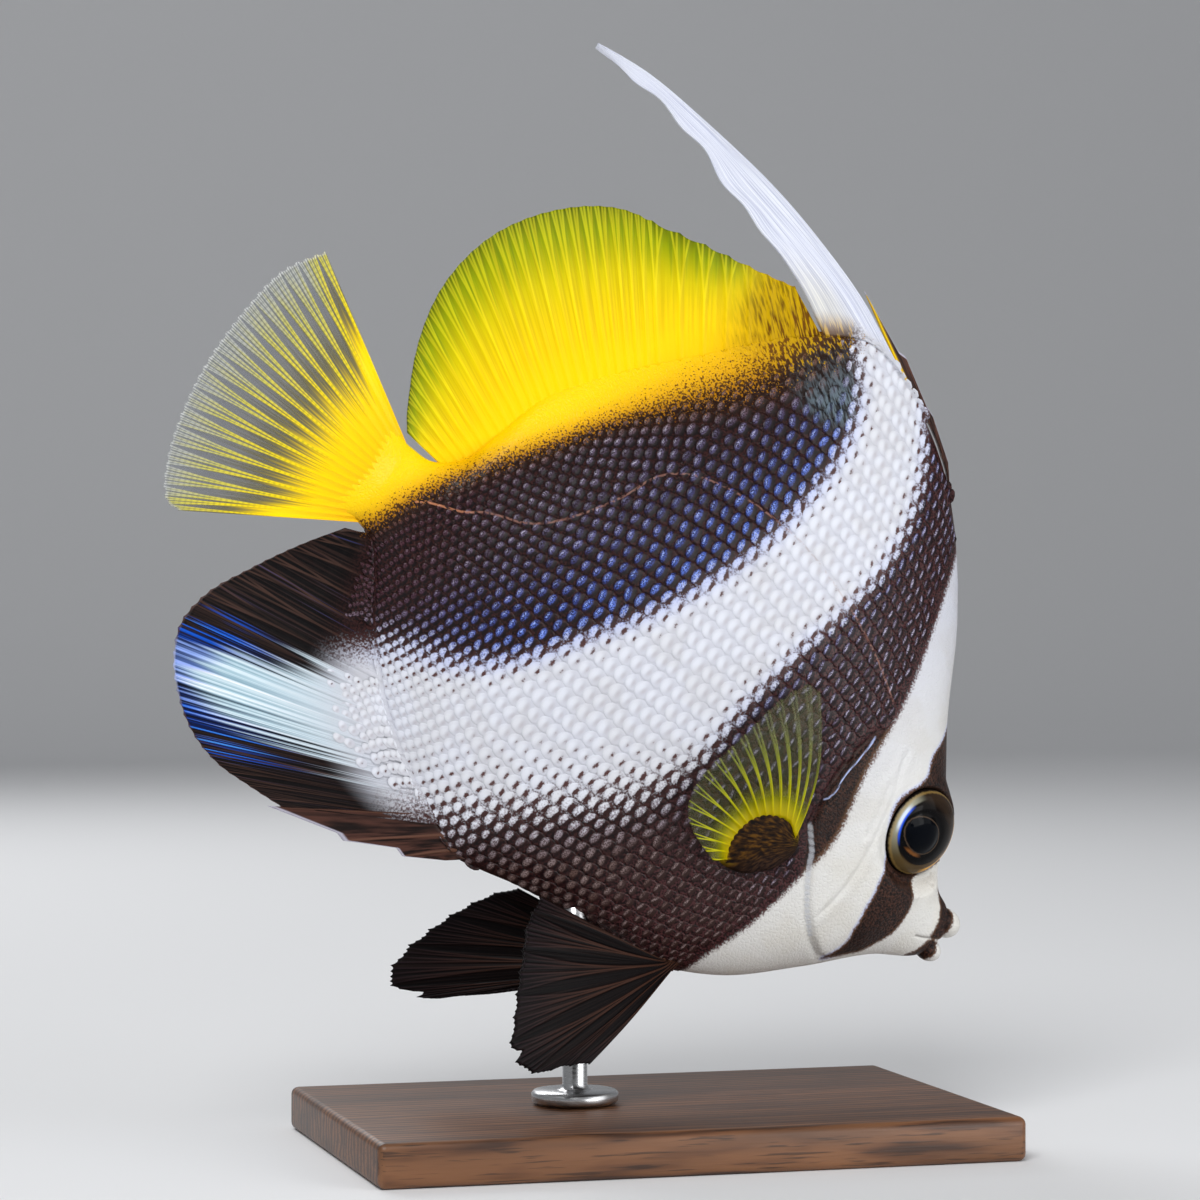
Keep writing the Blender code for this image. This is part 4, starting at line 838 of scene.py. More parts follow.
def makeCoat(name, side, finish):
    chance = np.random.default_rng(coat["seed"] + side)
    places = scalePlaces()
    centres = flankAt(places[:, 0], rowArc(places[:, 0], places[:, 1]))
    fromGill = np.hypot(centres[:, 0] - head["gillCentre"][0], centres[:, 1] - head["gillCentre"][1])
    marksHere = markValues(centres)
    bare = (marksHere["gold"] > 0.15) | (marksHere["dark"] < 1.1) & (centres[:,
        0] < 44) | (fromGill < head["gillRadius"] + 1.3)
    # on the anal fin only its pale part and its darkest part carry them
    beyond = -rowArc(places[:, 0], places[:, 1]) > np.interp(places[:, 0], stationGrid, bottomArc) - 0.6
    onIce = loopDepth(centres, marks["ice"]) > 0.5
    bare |= beyond & (places[:, 0] > 84) & ~onIce & (marksHere["dark"] < 1.2)
    places = places[~bare]
    station, row, step = places.T
    gap = rowArc(station, row + 0.5) - rowArc(station, row - 0.5)
    arc = rowArc(station, row)
    centres = flankAt(station, arc)
    count = len(places)

    # directions on the flank at each root: along the row to the tail, and up across it
    alongAxis = (flankAt(station + 0.3, arc) - flankAt(station - 0.3, arc)) / 0.6
    alongArc = (flankAt(station, arc + 0.2) - flankAt(station, arc - 0.2)) / 0.4
    normal = np.cross(alongAxis, alongArc)
    normal /= np.linalg.norm(normal, axis=1)[:, None]
    lean = 0.22 * centres[:, 1] * (1 - ease(station, 60, 90)) - 6 * ease(station, 85, 100) + chance.normal(0,
        7, count)
    sideways = np.stack([np.sin(np.radians(lean)), np.cos(np.radians(lean))], axis=1)
    outward = -(normal[:, :2] * sideways).sum(axis=1) / np.maximum(normal[:, 2], 0.25)
    upward = np.hstack([sideways, outward[:, None]])
    upward -= normal * (upward * normal).sum(axis=1)[:, None]
    upward /= np.linalg.norm(upward, axis=1)[:, None]
    tailward = np.cross(upward, normal)

    marksHere = markValues(centres)
    limit = edgeArc(station, arc)
    onFin = ease(np.abs(arc) - limit, -3.0, 7.0)
    pale = ease(-marksHere["dark"], -0.5, 1.5)
    shrink = 1 - 0.55 * ease(marksHere["gold"], -1.8, 0.4)
    towardTail = ease(centres[:, 0], 103, 116)
    towardHead = (1 - ease(centres[:, 0], 34, 46)) * ease(-centres[:, 1], -30, 0)
    towardBelly = marksHere["belly"] * (1 - ease(centres[:, 0], 44, 62))
    height = ((1 - 0.75 * onFin) * (1 - 0.62 * pale) * shrink * (1 - 0.5 * towardTail)
        * (1 - 0.35 * towardHead) * (1 - 0.45 * towardBelly))
    height *= chance.uniform(0.8, 1.2, count)
    size = chance.uniform(0.86, 1.06, count) * shrink * (1 - 0.15 * towardTail) * (1 - 0.2 * onFin)
    flat = (ease(np.abs(arc) - limit, -4.0, 0.0) * (arc < 0) * (station > 80))[:, None]
    normal = normal * (1 - flat) + np.array([0.0, 0.0, 1.0]) * flat
    normal /= np.linalg.norm(normal, axis=1)[:, None]
    halfLong = step * coat["length"] / 2 * size
    halfWide = gap * coat["width"] / 2 * size

    form, faces = scaleTemplate()
    p, q = form[None, :, 0], form[None, :, 1]
    reach = np.hypot(p, q)
    # the rear edge is free and stands up, and the front dips under the scale before it
    along = p * halfLong[:, None]
    across = q * halfWide[:, None] * (1 - 0.12 * p)
    narrow = (0.38 - 0.08 * pale)[:, None]
    lift = coat["ridge"] * np.exp(-((p - 0.48) / narrow) ** 2 - (q / 0.90) ** 2) + coat["tilt"] * p
    lift = np.where(reach > 0.98, lift - 0.12, lift)
    alongMetric = np.einsum("ij,ij->i", alongAxis, alongAxis)
    mixed = np.einsum("ij,ij->i", alongAxis, alongArc)
    arcMetric = np.einsum("ij,ij->i", alongArc, alongArc)
    spread = np.maximum(alongMetric * arcMetric - mixed ** 2, 1e-6)

    def flankStep(direction):
        # a step in space as steps of station and arc
        a, b = np.einsum("ij,ij->i", alongAxis, direction), np.einsum("ij,ij->i", alongArc, direction)
        return (a * arcMetric - b * mixed) / spread, (b * alongMetric - a * mixed) / spread
    (stationByP, arcByP), (stationByQ, arcByQ) = flankStep(tailward), flankStep(upward)
    stationsHere = station[:, None] + along * stationByP[:, None] + across * stationByQ[:, None]
    arcsHere = arc[:, None] + along * arcByP[:, None] + across * arcByQ[:, None]
    ground = flankAt(stationsHere.ravel(), arcsHere.ravel()).reshape(count, -1, 3)
    points = ground + normal[:, None, :] * (lift * height[:, None] - body["inset"] + 0.05)[:, :, None]
    points = points.reshape(-1, 3)

    perScale = form.shape[0]
    corners = []
    for i in range(count):
        base = i * perScale
        corners.extend([base + corner for corner in face] for face in faces)
    mesh = bpy.data.meshes.new(name)
    mesh.from_pydata(points.tolist(), [], corners)
    mesh.shade_smooth()

    # each scale is a small patch at its root's place on an unwrap of the flank
    rootU = np.repeat(station / 130.0, perScale)
    rootV = np.repeat(0.5 + 0.48 * np.clip(arc / (limit + 10), -1, 1), perScale)
    patch = np.stack([rootU + np.tile(form[:, 0], count) * coat["patch"],
        rootV + np.tile(form[:, 1], count) * coat["patch"]], axis=1)
    layer = mesh.uv_layers.new(name="OFBake")
    cornerVerts = np.zeros(len(mesh.loops), np.int32)
    mesh.loops.foreach_get("vertex_index", cornerVerts)
    layer.data.foreach_set("uv", np.ascontiguousarray(patch[cornerVerts], np.float32).ravel())

    points[:, 2] *= side
    wearMarks(mesh, points, scaleP=np.tile(form[:, 0], count), scaleQ=np.tile(form[:, 1], count),
              seed=np.repeat(chance.uniform(0, 1, count), perScale))
    setPoints(mesh, toWorld(points))
    if side < 0:
        mesh.flip_normals()
    addPiece(name, mesh, finish)
    print(name, count, "scales,", len(mesh.polygons), "faces")


# The fins

fins = {
    "membrane": 0.55,      # mm thick between the rays
    "ridge": 0.42,         # more on a ray
    "sunk": 1.6,           # how deep a fin's root sits in the flesh
    "frontSpines": {"base": ((45.8, 58.2), (62.6, 66.8)), "at": [0.0, 0.25, 0.34, 0.58, 0.67, 1.0],
                    "tips": [(46.8, 60.1), (53.6, 64.6), (55.4, 65.2), (63.2, 69.5), (64.8, 69.4),
                    (75.2, 73.7)]},
    "banner": {"base": ((63.6, 67.0), (77.6, 64.1)),
               "front": [(64.0, 67.6), (75.2, 72.5), (91.2, 76.4), (103.4, 78.3), (114.7, 79.1),
               (125.1, 79.0),
                         (135.1, 77.5)],
               "rear": [(77.9, 65.2), (84.7, 68.2), (94.4, 70.6), (102.6, 72.4), (111.5, 75.2), (120.6, 76.4),
                        (134.9, 76.9)]},
    "dorsal": {"base": ((78.2, 63.5), (116.6, 7.4)), "spines": 7, "rays": 25, "spiny": 0.40,
               "margin": [(85.3, 66.9), (95.0, 64.4), (106.0, 61.7), (117.0, 58.3), (125.5, 50.6),
               (130.7, 41.0),
                          (131.9, 31.1), (130.2, 22.6), (128.4, 18.0), (126.0, 13.4), (124.4, 10.6),
                          (122.6, 8.2)]},
    "caudal": {"base": ((121.3, 6.5), (120.8, -8.2)), "rays": 17,
               "margin": [(150.2, 23.3), (153.5, 17.5), (155.0, 8.0), (154.9, -2.0), (153.2, -11.0),
               (150.4, -18.8),
                          (148.5, -22.1), (146.7, -23.7), (144.4, -23.7)]},
    "analSpines": {"base": ((75.5, -41.0), (84.2, -38.5)), "at": [0.0, 0.25, 0.34, 0.58, 0.67, 1.0],
                   "tips": [(77.0, -42.6), (83.0, -46.1), (84.6, -45.6), (92.3, -49.7), (93.8, -49.3),
                   (105.4, -52.4)]},
    "anal": {"base": ((82.6, -39.4), (119.0, -8.9)), "rays": 18,
             "margin": [(103.4, -51.2), (109.6, -51.6), (116.0, -51.7), (121.1, -50.5), (127.9, -46.3),
             (131.2, -42.9),
                        (133.8, -37.4), (133.5, -32.5), (129.9, -24.0), (124.8, -14.9), (121.4, -9.9)]},
    "pectoral": {"dome": [(35.2, -5.4), (37.6, -3.9), (40.5, -4.8), (43.0, -7.1), (44.3, -10.5),
    (44.2, -14.0), (42.6, -17.2),
                          (39.4, -17.0), (36.1, -14.6), (33.8, -11.4), (33.3, -8.0)],
                 "domeMiddle": (39.0, -11.2), "domeHeight": 1.7, "rays": 16, "bow": 0.9, "sweep": 1.6,
                 "feet": [(35.0, -6.2), (37.3, -4.9), (40.2, -5.6), (42.5, -7.7), (43.6, -10.7),
                 (43.5, -14.0), (42.2, -16.6)],
                 "tips": [(46.6, 13.6, 15.0), (49.0, 13.3, 15.6), (50.4, 11.2, 15.8), (51.6, 8.2, 16.0),
                 (52.6, 3.0, 16.2),
                          (53.9, -3.5, 16.2), (54.7, -7.9, 16.0), (54.5, -11.6, 15.6), (53.4, -14.4, 15.2),
                          (51.1, -16.3, 14.6),
                          (48.2, -17.4, 14.0), (44.4, -18.2, 12.8)]},
    "pelvic": {"root": (37.6, -34.6, 2.3), "pad": (2.4, 1.7, 1.6), "bow": 1.2, "rays": 7,
               "right": [(42.1, -55.9, 13.5), (45.9, -58.9, 15.0), (50.0, -62.6, 17.0), (54.0, -62.8, 18.0),
                         (57.8, -57.0, 17.0), (61.3, -49.3, 14.5), (63.2, -44.0, 11.5), (63.0, -38.9, 8.0)],
               "left": [(52.3, -51.8, 10.5), (58.4, -57.5, 12.5), (64.8, -62.3, 14.0), (70.0, -62.6, 14.5),
               (70.8, -57.6, 14.0),
                        (70.0, -53.6, 13.0), (67.8, -46.6, 11.0), (64.6, -40.6, 8.5), (62.8, -38.6, 7.0)]},
}


def between(start, end, share):
    share = np.asarray(share)[:, None]
    return start + (end - start) * share


def rootLine(edge, base, outward):
    # a fin's root along the back (outward 1) or the belly (-1)
    places = np.linspace(0, 1, 2001)
    line = edge(places)
    ends = [places[np.argmin(np.linalg.norm(line - point, axis=1))] for point in np.array(base)]

    def at(across):
        place = ends[0] + (ends[1] - ends[0]) * across
        run = edge(place + 0.002) - edge(place - 0.002)
        turned = np.stack([-run[:, 1], run[:, 0]], axis=1) * outward
        return edge(place) + turned / np.linalg.norm(turned, axis=1)[:, None] * 0.3
    return at


def rayDistance(ray, out, forks):
    # distance to the nearest ray or branch, in ray gaps; each fork is its start and its spread
    away = np.abs(ray - np.rint(ray))
    for start, spread in forks:
        away = np.abs(away - spread * np.clip((out - start) / (1 - start), 0, 1))
    return away


def growFin(name, node, finish, pointAt, rayOf, size, forks=(), marginOf=None, thickOf=None, ridge=None,
        sunk=None):
    # a sheet from its root to its margin, thickened, with its rays as ridges
    bm = bmesh.new()
    bmesh.ops.create_grid(bm, x_segments=size[0], y_segments=size[1], size=0.5)
    mesh = meshFrom(bm, name)
    unit = np.clip(pointsOf(mesh) + 0.5, 0, 1)
    across, out = unit[:, 0], unit[:, 1]
    ray = rayOf(across)
    out = out * (marginOf(ray, across) if marginOf else 1.0)
    points = pointAt(across, out)
    if points.shape[1] == 2:
        points = np.hstack([points, np.zeros((len(points), 1))])
    root = pointAt(across, np.zeros(len(across)))
    root = root if root.shape[1] == 3 else np.hstack([root, np.zeros((len(root), 1))])
    reach = np.linalg.norm(points - root, axis=1)
    ahead = pointAt(np.clip(across + 0.004, 0, 1), out)
    behind = pointAt(np.clip(across - 0.004, 0, 1), out)
    gap = np.linalg.norm(ahead - behind,
        axis=1) / np.maximum(np.abs(rayOf(np.clip(across + 0.004, 0, 1)) - rayOf(np.clip(across - 0.004, 0,
        1))), 1e-6)
    inward = root - pointAt3(pointAt, across, 0.08)
    inward /= np.maximum(np.linalg.norm(inward, axis=1), 1e-6)[:, None]
    points = points + inward * ((fins["sunk"] if sunk is None else sunk) * (1 - out) ** 14)[:, None]

    rayHeight = (fins["ridge"] if ridge is None else ridge) * (1 - 0.6 * out)
    onRay = np.clip(1 - rayDistance(ray, out, forks) * gap / 0.55, 0, 1)
    thickness = fins["membrane"] * (1 - 0.35 * out) + rayHeight * onRay ** 1.5
    if thickOf:
        thickness = thickness + thickOf(across, out)
    wearMarks(mesh, points, ray=ray, out=out, rayGap=gap, reach=reach, across=across,
              scaleP=np.full(len(points), bareSkin[0]), scaleQ=np.full(len(points), bareSkin[1]),
              seed=np.full(len(points), 0.5))
    setPoints(mesh, toWorld(points))
    piece = addPiece(name, mesh, finish, (node,) if node else ())
    group = piece.vertex_groups.new(name="thickness")
    thickest = thickness.max()
    for level in range(65):
        held = np.flatnonzero(np.rint(thickness / thickest * 64) == level)
        if len(held):
            group.add(held.tolist(), level / 64, "REPLACE")
    wall = piece.modifiers.new("wall", "SOLIDIFY")
    wall.thickness = thickest * mm
    wall.offset = 0.0
    wall.vertex_group = group.name
    print(name, len(mesh.polygons), "faces before its wall")
    return piece


def pointAt3(pointAt, across, out):
    points = pointAt(across, np.full(len(across), out))
    return points if points.shape[1] == 3 else np.hstack([points, np.zeros((len(points), 1))])


def rayMask(tree, forks, half, soft=0.10):
    # the rays as drawn lines, half a millimetre or less wide, with the same forks as the ridges
    ray = addNode(tree, "Attribute", out="Fac", attribute_name="ray")
    out = addNode(tree, "Attribute", out="Fac", attribute_name="out")
    gap = addNode(tree, "Attribute", out="Fac", attribute_name="rayGap")
    away = addNode(tree, "Math", {0: ray, 1: 0.5}, operation="PINGPONG")
    for start, spread in forks:
        parting = addNode(tree, "MapRange", {0: out, 1: start, 2: 1.0, 3: 0.0, 4: spread})
        away = addNode(tree, "Math", {0: away, 1: parting}, operation="SUBTRACT")
        away = addNode(tree, "Math", {0: away}, operation="ABSOLUTE")
    away = addNode(tree, "Math", {0: away, 1: gap}, operation="MULTIPLY")
    return addNode(tree, "MapRange", {0: away, 1: half, 2: half + soft, 3: 1.0, 4: 0.0}, **smooth), out


def fibre(tree, scale, stretch=0.12):
    # fine streaks that run out along the rays
    ray = addNode(tree, "Attribute", out="Fac", attribute_name="ray")
    out = addNode(tree, "Attribute", out="Fac", attribute_name="out")
    along = addNode(tree, "Math", {0: out, 1: stretch * scale}, operation="MULTIPLY")
    over = addNode(tree, "Math", {0: ray, 1: scale}, operation="MULTIPLY")
    place = addNode(tree, "CombineXYZ", {0: over, 1: along})
    return addNode(tree, "TexNoise", {"Vector": place, "Scale": 1.0, "Detail": 3.0})


def dorsalFinish(forks):
    # stained and lacquered cast resin: rays brighter than the membrane
    finish, tree, shader = newFinish("yellowFinResin")
    color, _, goldMask, _ = bodyPaint(tree)
    rays, out = rayMask(tree, forks, 0.10, 0.16)
    streak = fibre(tree, 5.0)
    membrane = addNode(tree, "ValToRGB", {0: out},
        stops=[(0.0, "#FFCE00"), (0.30, "#F4D000"), (0.6, "#D6C400"), (0.85, "#94A000"), (0.95, "#748000"),
        (1.0, "#4C5A06")])
    olive = addNode(tree, "MapRange", {0: streak, 1: 0.48, 2: 0.66, 3: 0.0, 4: 0.75}, **smooth)
    olive = addNode(tree, "Math",
        {0: olive, 1: addNode(tree, "MapRange", {0: out, 1: 0.45, 2: 0.95}, **smooth)}, operation="MULTIPLY")
    membrane = addNode(tree, "Mix", {0: olive, 6: membrane, 7: "#6F7D08"}, **colors)
    rayPaint = addNode(tree, "ValToRGB", {0: out},
        stops=[(0.0, "#FFD400"), (0.5, "#F4DC10"), (0.85, "#C6C214"), (1.0, "#A6A81E")])
    fin = addNode(tree, "Mix",
        {0: addNode(tree, "Math", {0: rays, 1: 0.85}, operation="MULTIPLY"), 6: membrane, 7: rayPaint},
        **colors)
    fin = addNode(tree, "Mix",
        {0: addNode(tree, "MapRange", {0: streak, 1: 0.35, 2: 0.6, 3: 0.30, 4: 0.0}, **smooth), 6: fin,
        7: "#B79A00"}, **colors, blend_type="MULTIPLY")
    rootShare = addNode(tree, "MapRange", {0: out, 1: 0.02, 2: 0.30, 3: 1.0, 4: 0.0}, **smooth)
    dull = addNode(tree, "Math", {0: goldMask, 1: 1.0}, operation="SUBTRACT")
    dull = addNode(tree, "Math", {0: dull}, operation="ABSOLUTE")
    warm = addNode(tree, "Attribute", out="Fac", attribute_name="warm")
    rootShare = addNode(tree, "Math", {0: rootShare, 1: dull}, operation="MAXIMUM")
    color = addNode(tree, "Mix",
        {0: addNode(tree, "Math", {0: rootShare, 1: warm}, operation="MAXIMUM"), 6: fin, 7: color}, **colors)
    bump = addNode(tree, "Bump", {"Strength": 0.5, "Distance": 0.00015, "Height": streak})
    plug(tree, shader, {"Base Color": color, "Normal": bump, "Roughness": 0.42, "Specular IOR Level": 0.08})
    return finish


def caudalFinish(forks):
    # clear tinted resin film over yellow rays that whiten to the margin
    finish, tree, shader = newFinish("clearTailResin")
    rays, out = rayMask(tree, forks, 0.07, 0.13)
    across = addNode(tree, "Attribute", out="Fac", attribute_name="across")
    reach = addNode(tree, "Attribute", out="Fac", attribute_name="reach")
    streak = fibre(tree, 7.0)
    beads = addNode(tree, "Math", {0: reach, 1: 7.0}, operation="MULTIPLY")      # joints 0.9 mm apart
    beads = addNode(tree, "Math", {0: beads}, operation="SINE")
    edgeRun = addNode(tree, "Math", {0: across, 1: 0.5}, operation="PINGPONG")   # 0 at both edges
    edgeRun = addNode(tree, "MapRange", {0: edgeRun, 1: 0.02, 2: 0.10, 3: 0.22, 4: 0.0}, **smooth)
    solid = addNode(tree, "Math",
        {0: edgeRun, 1: addNode(tree, "MapRange", {0: streak, 1: 0.35, 2: 0.65, 3: -0.05, 4: 0.07},
        **smooth)}, operation="ADD")
    level = addNode(tree, "Math", {0: out, 1: solid}, operation="SUBTRACT")
    base = addNode(tree, "MapRange", {0: level, 1: 0.26, 2: 0.46, 3: 1.0, 4: 0.0}, **smooth)
    basePaint = addNode(tree, "ValToRGB", {0: out},
        stops=[(0.0, "#F5B400"), (0.15, "#FFC800"), (0.4, "#FFDA00")])
    rayPaint = addNode(tree, "ValToRGB", {0: level},
        stops=[(0.0, "#FFD400"), (0.5, "#E8D210"), (0.75, "#C2BC58"), (0.95, "#A6A8A0")])
    film = addNode(tree, "ValToRGB", {0: level},
        stops=[(0.3, "#B49A10"), (0.5, "#706A4A"), (0.8, "#5F6268"), (1.0, "#7F848C")])
    lit = addNode(tree, "MapRange", {0: beads, 1: -1.0, 2: 0.4, 3: 0.85, 4: 1.0}, **smooth)
    lit = addNode(tree, "Math", {0: lit, 1: rays}, operation="MULTIPLY")
    color = addNode(tree, "Mix", {0: lit, 6: film, 7: rayPaint}, **colors)
    color = addNode(tree, "Mix", {0: base, 6: color, 7: basePaint}, **colors)
    rim = addNode(tree, "MapRange", {0: out, 1: 0.975, 2: 0.992}, **smooth)
    color = addNode(tree, "Mix",
        {0: addNode(tree, "Math", {0: rim, 1: 0.5}, operation="MULTIPLY"), 6: color, 7: "#DADDE0"}, **colors)
    alpha = addNode(tree, "MapRange", {0: level, 1: 0.4, 2: 0.75, 3: 0.85, 4: 0.32}, **smooth)
    alpha = addNode(tree, "Math", {0: alpha, 1: base}, operation="MAXIMUM")
    alpha = addNode(tree, "Math",
        {0: alpha, 1: addNode(tree, "Math", {0: lit, 1: 0.97}, operation="MULTIPLY")}, operation="MAXIMUM")
    bump = addNode(tree, "Bump", {"Strength": 0.4, "Distance": 0.00012, "Height": streak})
    plug(tree, shader, {"Base Color": color, "Alpha": alpha, "Normal": bump, "Roughness": 0.32,
        "Specular IOR Level": 0.2})
    return finish


def analFinish(forks):
    # painted resin: dark, with an ice white core between two blue borders, and a fine ray relief
    finish, tree, shader = newFinish("paintedAnalFin")
    color = bodyPaint(tree)[0]
    rays, out = rayMask(tree, forks, 0.09, 0.16)
    ice = addNode(tree, "Attribute", out="Fac", attribute_name="ice")
    streak = fibre(tree, 8.0, 0.05)
    wide = fibre(tree, 2.2, 0.08)
    brown = addNode(tree, "Mix",
        {0: addNode(tree, "MapRange", {0: streak, 1: 0.42, 2: 0.70}, **smooth), 6: "#060405", 7: "#2A1C19"},
        **colors)
    brown = addNode(tree, "Mix",
        {0: addNode(tree, "Math",
        {0: rays, 1: addNode(tree, "MapRange", {0: wide, 1: 0.4, 2: 0.6, 3: 0.15, 4: 0.7}, **smooth)},
        operation="MULTIPLY"), 6: brown, 7: "#4A342C"}, **colors)
    glints = addNode(tree, "Math",
        {0: addNode(tree, "MapRange", {0: streak, 1: 0.56, 2: 0.70}, **smooth),
        1: addNode(tree, "MapRange", {0: wide, 1: 0.48, 2: 0.62}, **smooth)}, operation="MULTIPLY")
    nearIce = addNode(tree, "MapRange", {0: ice, 1: -13.0, 2: -5.0, 3: 0.0, 4: 0.8}, **smooth)
    brown = addNode(tree, "Mix",
        {0: addNode(tree, "Math", {0: glints, 1: nearIce}, operation="MULTIPLY"), 6: brown, 7: "#26468E"},
        **colors)
    ragged = addNode(tree, "MapRange", {0: wide, 1: 0.3, 2: 0.7, 3: -2.2, 4: 2.2}, **smooth)
    fine = addNode(tree, "MapRange", {0: streak, 1: 0.3, 2: 0.7, 3: -1.8, 4: 1.8}, **smooth)
    level = addNode(tree, "Math", {0: ice, 1: ragged}, operation="ADD")
    level = addNode(tree, "Math", {0: level, 1: fine}, operation="ADD")
    bluePaint = addNode(tree, "ValToRGB", {0: streak},
        stops=[(0.36, "#060A1A"), (0.50, "#081E58"), (0.60, "#0A52C4"), (0.72, "#4E9CEC")])
    icePaint = addNode(tree, "ValToRGB", {0: streak},
        stops=[(0.32, "#7F9FB0"), (0.46, "#A9C7D4"), (0.60, "#D6E6EE"), (0.72, "#F4F6FB")])
    reachOut = addNode(tree, "MapRange", {0: out, 1: 0.10, 2: 0.75}, **smooth)
    icePaint = addNode(tree, "Mix", {0: reachOut, 6: "#C3CDD6", 7: icePaint}, **colors)
    blueWidth = addNode(tree, "MapRange", {0: out, 1: 0.35, 2: 1.0, 3: 0.2, 4: 4.0}, **smooth)
    lowEdge = addNode(tree, "Math", {0: level, 1: blueWidth}, operation="ADD")
    blueMask = addNode(tree, "MapRange", {0: lowEdge, 1: -1.4, 2: 1.2}, **smooth)
    blueMask = addNode(tree, "Math",
        {0: blueMask, 1: addNode(tree, "MapRange", {0: out, 1: 0.34, 2: 0.80}, **smooth)},
        operation="MULTIPLY")
    fin = addNode(tree, "Mix", {0: blueMask, 6: brown, 7: bluePaint}, **colors)
    atMargin = addNode(tree, "Math",
        {0: out, 1: addNode(tree, "MapRange", {0: wide, 1: 0.3, 2: 0.7, 3: -0.10, 4: 0.10}, **smooth)},
        operation="ADD")
    icePaint = addNode(tree, "Mix",
        {0: addNode(tree, "MapRange", {0: atMargin, 1: 0.80, 2: 0.98, 3: 0.0, 4: 0.75}, **smooth),
        6: icePaint, 7: addNode(tree, "Mix",
        {0: addNode(tree, "MapRange", {0: streak, 1: 0.42, 2: 0.62}, **smooth), 6: "#0E2A8C", 7: "#5C84E8"},
        **colors)}, **colors)
    fin = addNode(tree, "Mix",
        {0: addNode(tree, "MapRange", {0: level, 1: -1.6, 2: 2.2}, **smooth), 6: fin, 7: icePaint}, **colors)
    fin = addNode(tree, "Mix",
        {0: addNode(tree, "MapRange", {0: out, 1: 0.985, 2: 0.996, 3: 0.0, 4: 0.8}, **smooth), 6: fin,
        7: addNode(tree, "Mix", {0: addNode(tree, "MapRange", {0: ice, 1: -3.0, 2: 2.0}, **smooth),
        6: "#5A4440", 7: "#B9C2E6"}, **colors)}, **colors)
    rootShare = addNode(tree, "MapRange", {0: out, 1: 0.04, 2: 0.40, 3: 1.0, 4: 0.0}, **smooth)
    color = addNode(tree, "Mix", {0: rootShare, 6: fin, 7: color}, **colors)
    bump = addNode(tree, "Bump", {"Strength": 0.8, "Distance": 0.0002, "Height": streak})
    plug(tree, shader, {"Base Color": color, "Normal": bump, "Roughness": 0.36, "Specular IOR Level": 0.1})
    return finish


def bannerFinish():
    # silky white lacquer over a thin cast, painted lilac shade in the folds, streaked along its length
    finish, tree, shader = newFinish("silkyWhiteLacquer")
    color = bodyPaint(tree)[0]
    out = addNode(tree, "Attribute", out="Fac", attribute_name="out")
    across = addNode(tree, "Attribute", out="Fac", attribute_name="across")
    streak = fibre(tree, 14.0, 0.25)
    # painted shade: lilac where the streaks sink, the same streaks as the bump
    silk = addNode(tree, "ValToRGB", {0: streak},
        stops=[(0.30, "#A9AEC6"), (0.5, "#CDD1E0"), (0.68, "#E8EBF3")])
    warm = addNode(tree, "MapRange", {0: across, 1: 0.35, 2: 0.8, 3: 0.0, 4: 0.5}, **smooth)
    warm = addNode(tree, "Math",
        {0: warm, 1: addNode(tree, "MapRange", {0: out, 1: 0.05, 2: 0.3, 3: 1.0, 4: 0.0}, **smooth)},
        operation="MULTIPLY")
    silk = addNode(tree, "Mix", {0: warm, 6: silk, 7: "#E7DDB8"}, **colors, blend_type="MULTIPLY")
    color = addNode(tree, "Mix",
        {0: addNode(tree, "MapRange", {0: out, 1: 0.0, 2: 0.07, 3: 1.0, 4: 0.0}, **smooth), 6: silk,
        7: color}, **colors)
    bump = addNode(tree, "Bump", {"Strength": 0.5, "Distance": 0.00015, "Height": streak})
    plug(tree, shader, {"Base Color": color, "Normal": bump, "Roughness": 0.36, "Subsurface Weight": 0.15,
        "Subsurface Radius": (0.001, 0.001, 0.0012), "Subsurface Scale": 1.0})
    return finish


def spineFinish(name, yellowFrom):
    # brown lacquered spines with a pale edge painted as a glint, and yellow from one spine on
    finish, tree, shader = newFinish(name)
    rays, out = rayMask(tree, (), 0.22, 0.3)
    streak = fibre(tree, 6.0, 0.3)
    brown = addNode(tree, "Mix",
        {0: addNode(tree, "MapRange", {0: streak, 1: 0.35, 2: 0.65}, **smooth), 6: "#160C0A", 7: "#4A2E26"},
        **colors)
    brown = addNode(tree, "Mix",
        {0: addNode(tree, "Math", {0: rays, 1: 0.6}, operation="MULTIPLY"), 6: brown, 7: "#6B4A3C"}, **colors)
    # painted glint: a pale line along the spines' outer edge
    edge = addNode(tree, "MapRange", {0: out, 1: 0.93, 2: 0.97}, **smooth)
    ray = addNode(tree, "Attribute", out="Fac", attribute_name="ray")
    brown = addNode(tree, "Mix",
        {0: addNode(tree, "MapRange", {0: ray, 1: yellowFrom, 2: yellowFrom + 0.2}, **smooth), 6: brown,
        7: addNode(tree, "Mix", {0: addNode(tree, "MapRange", {0: streak, 1: 0.4, 2: 0.6}, **smooth),
        6: "#C79A00", 7: "#F5CE00"}, **colors)}, **colors)
    brown = addNode(tree, "Mix", {0: edge, 6: brown, 7: "#A9A6B4"}, **colors)
    bump = addNode(tree, "Bump", {"Strength": 0.5, "Distance": 0.00015, "Height": streak})
    plug(tree, shader, {"Base Color": brown, "Normal": bump, "Roughness": 0.36, "Specular IOR Level": 0.12})
    return finish


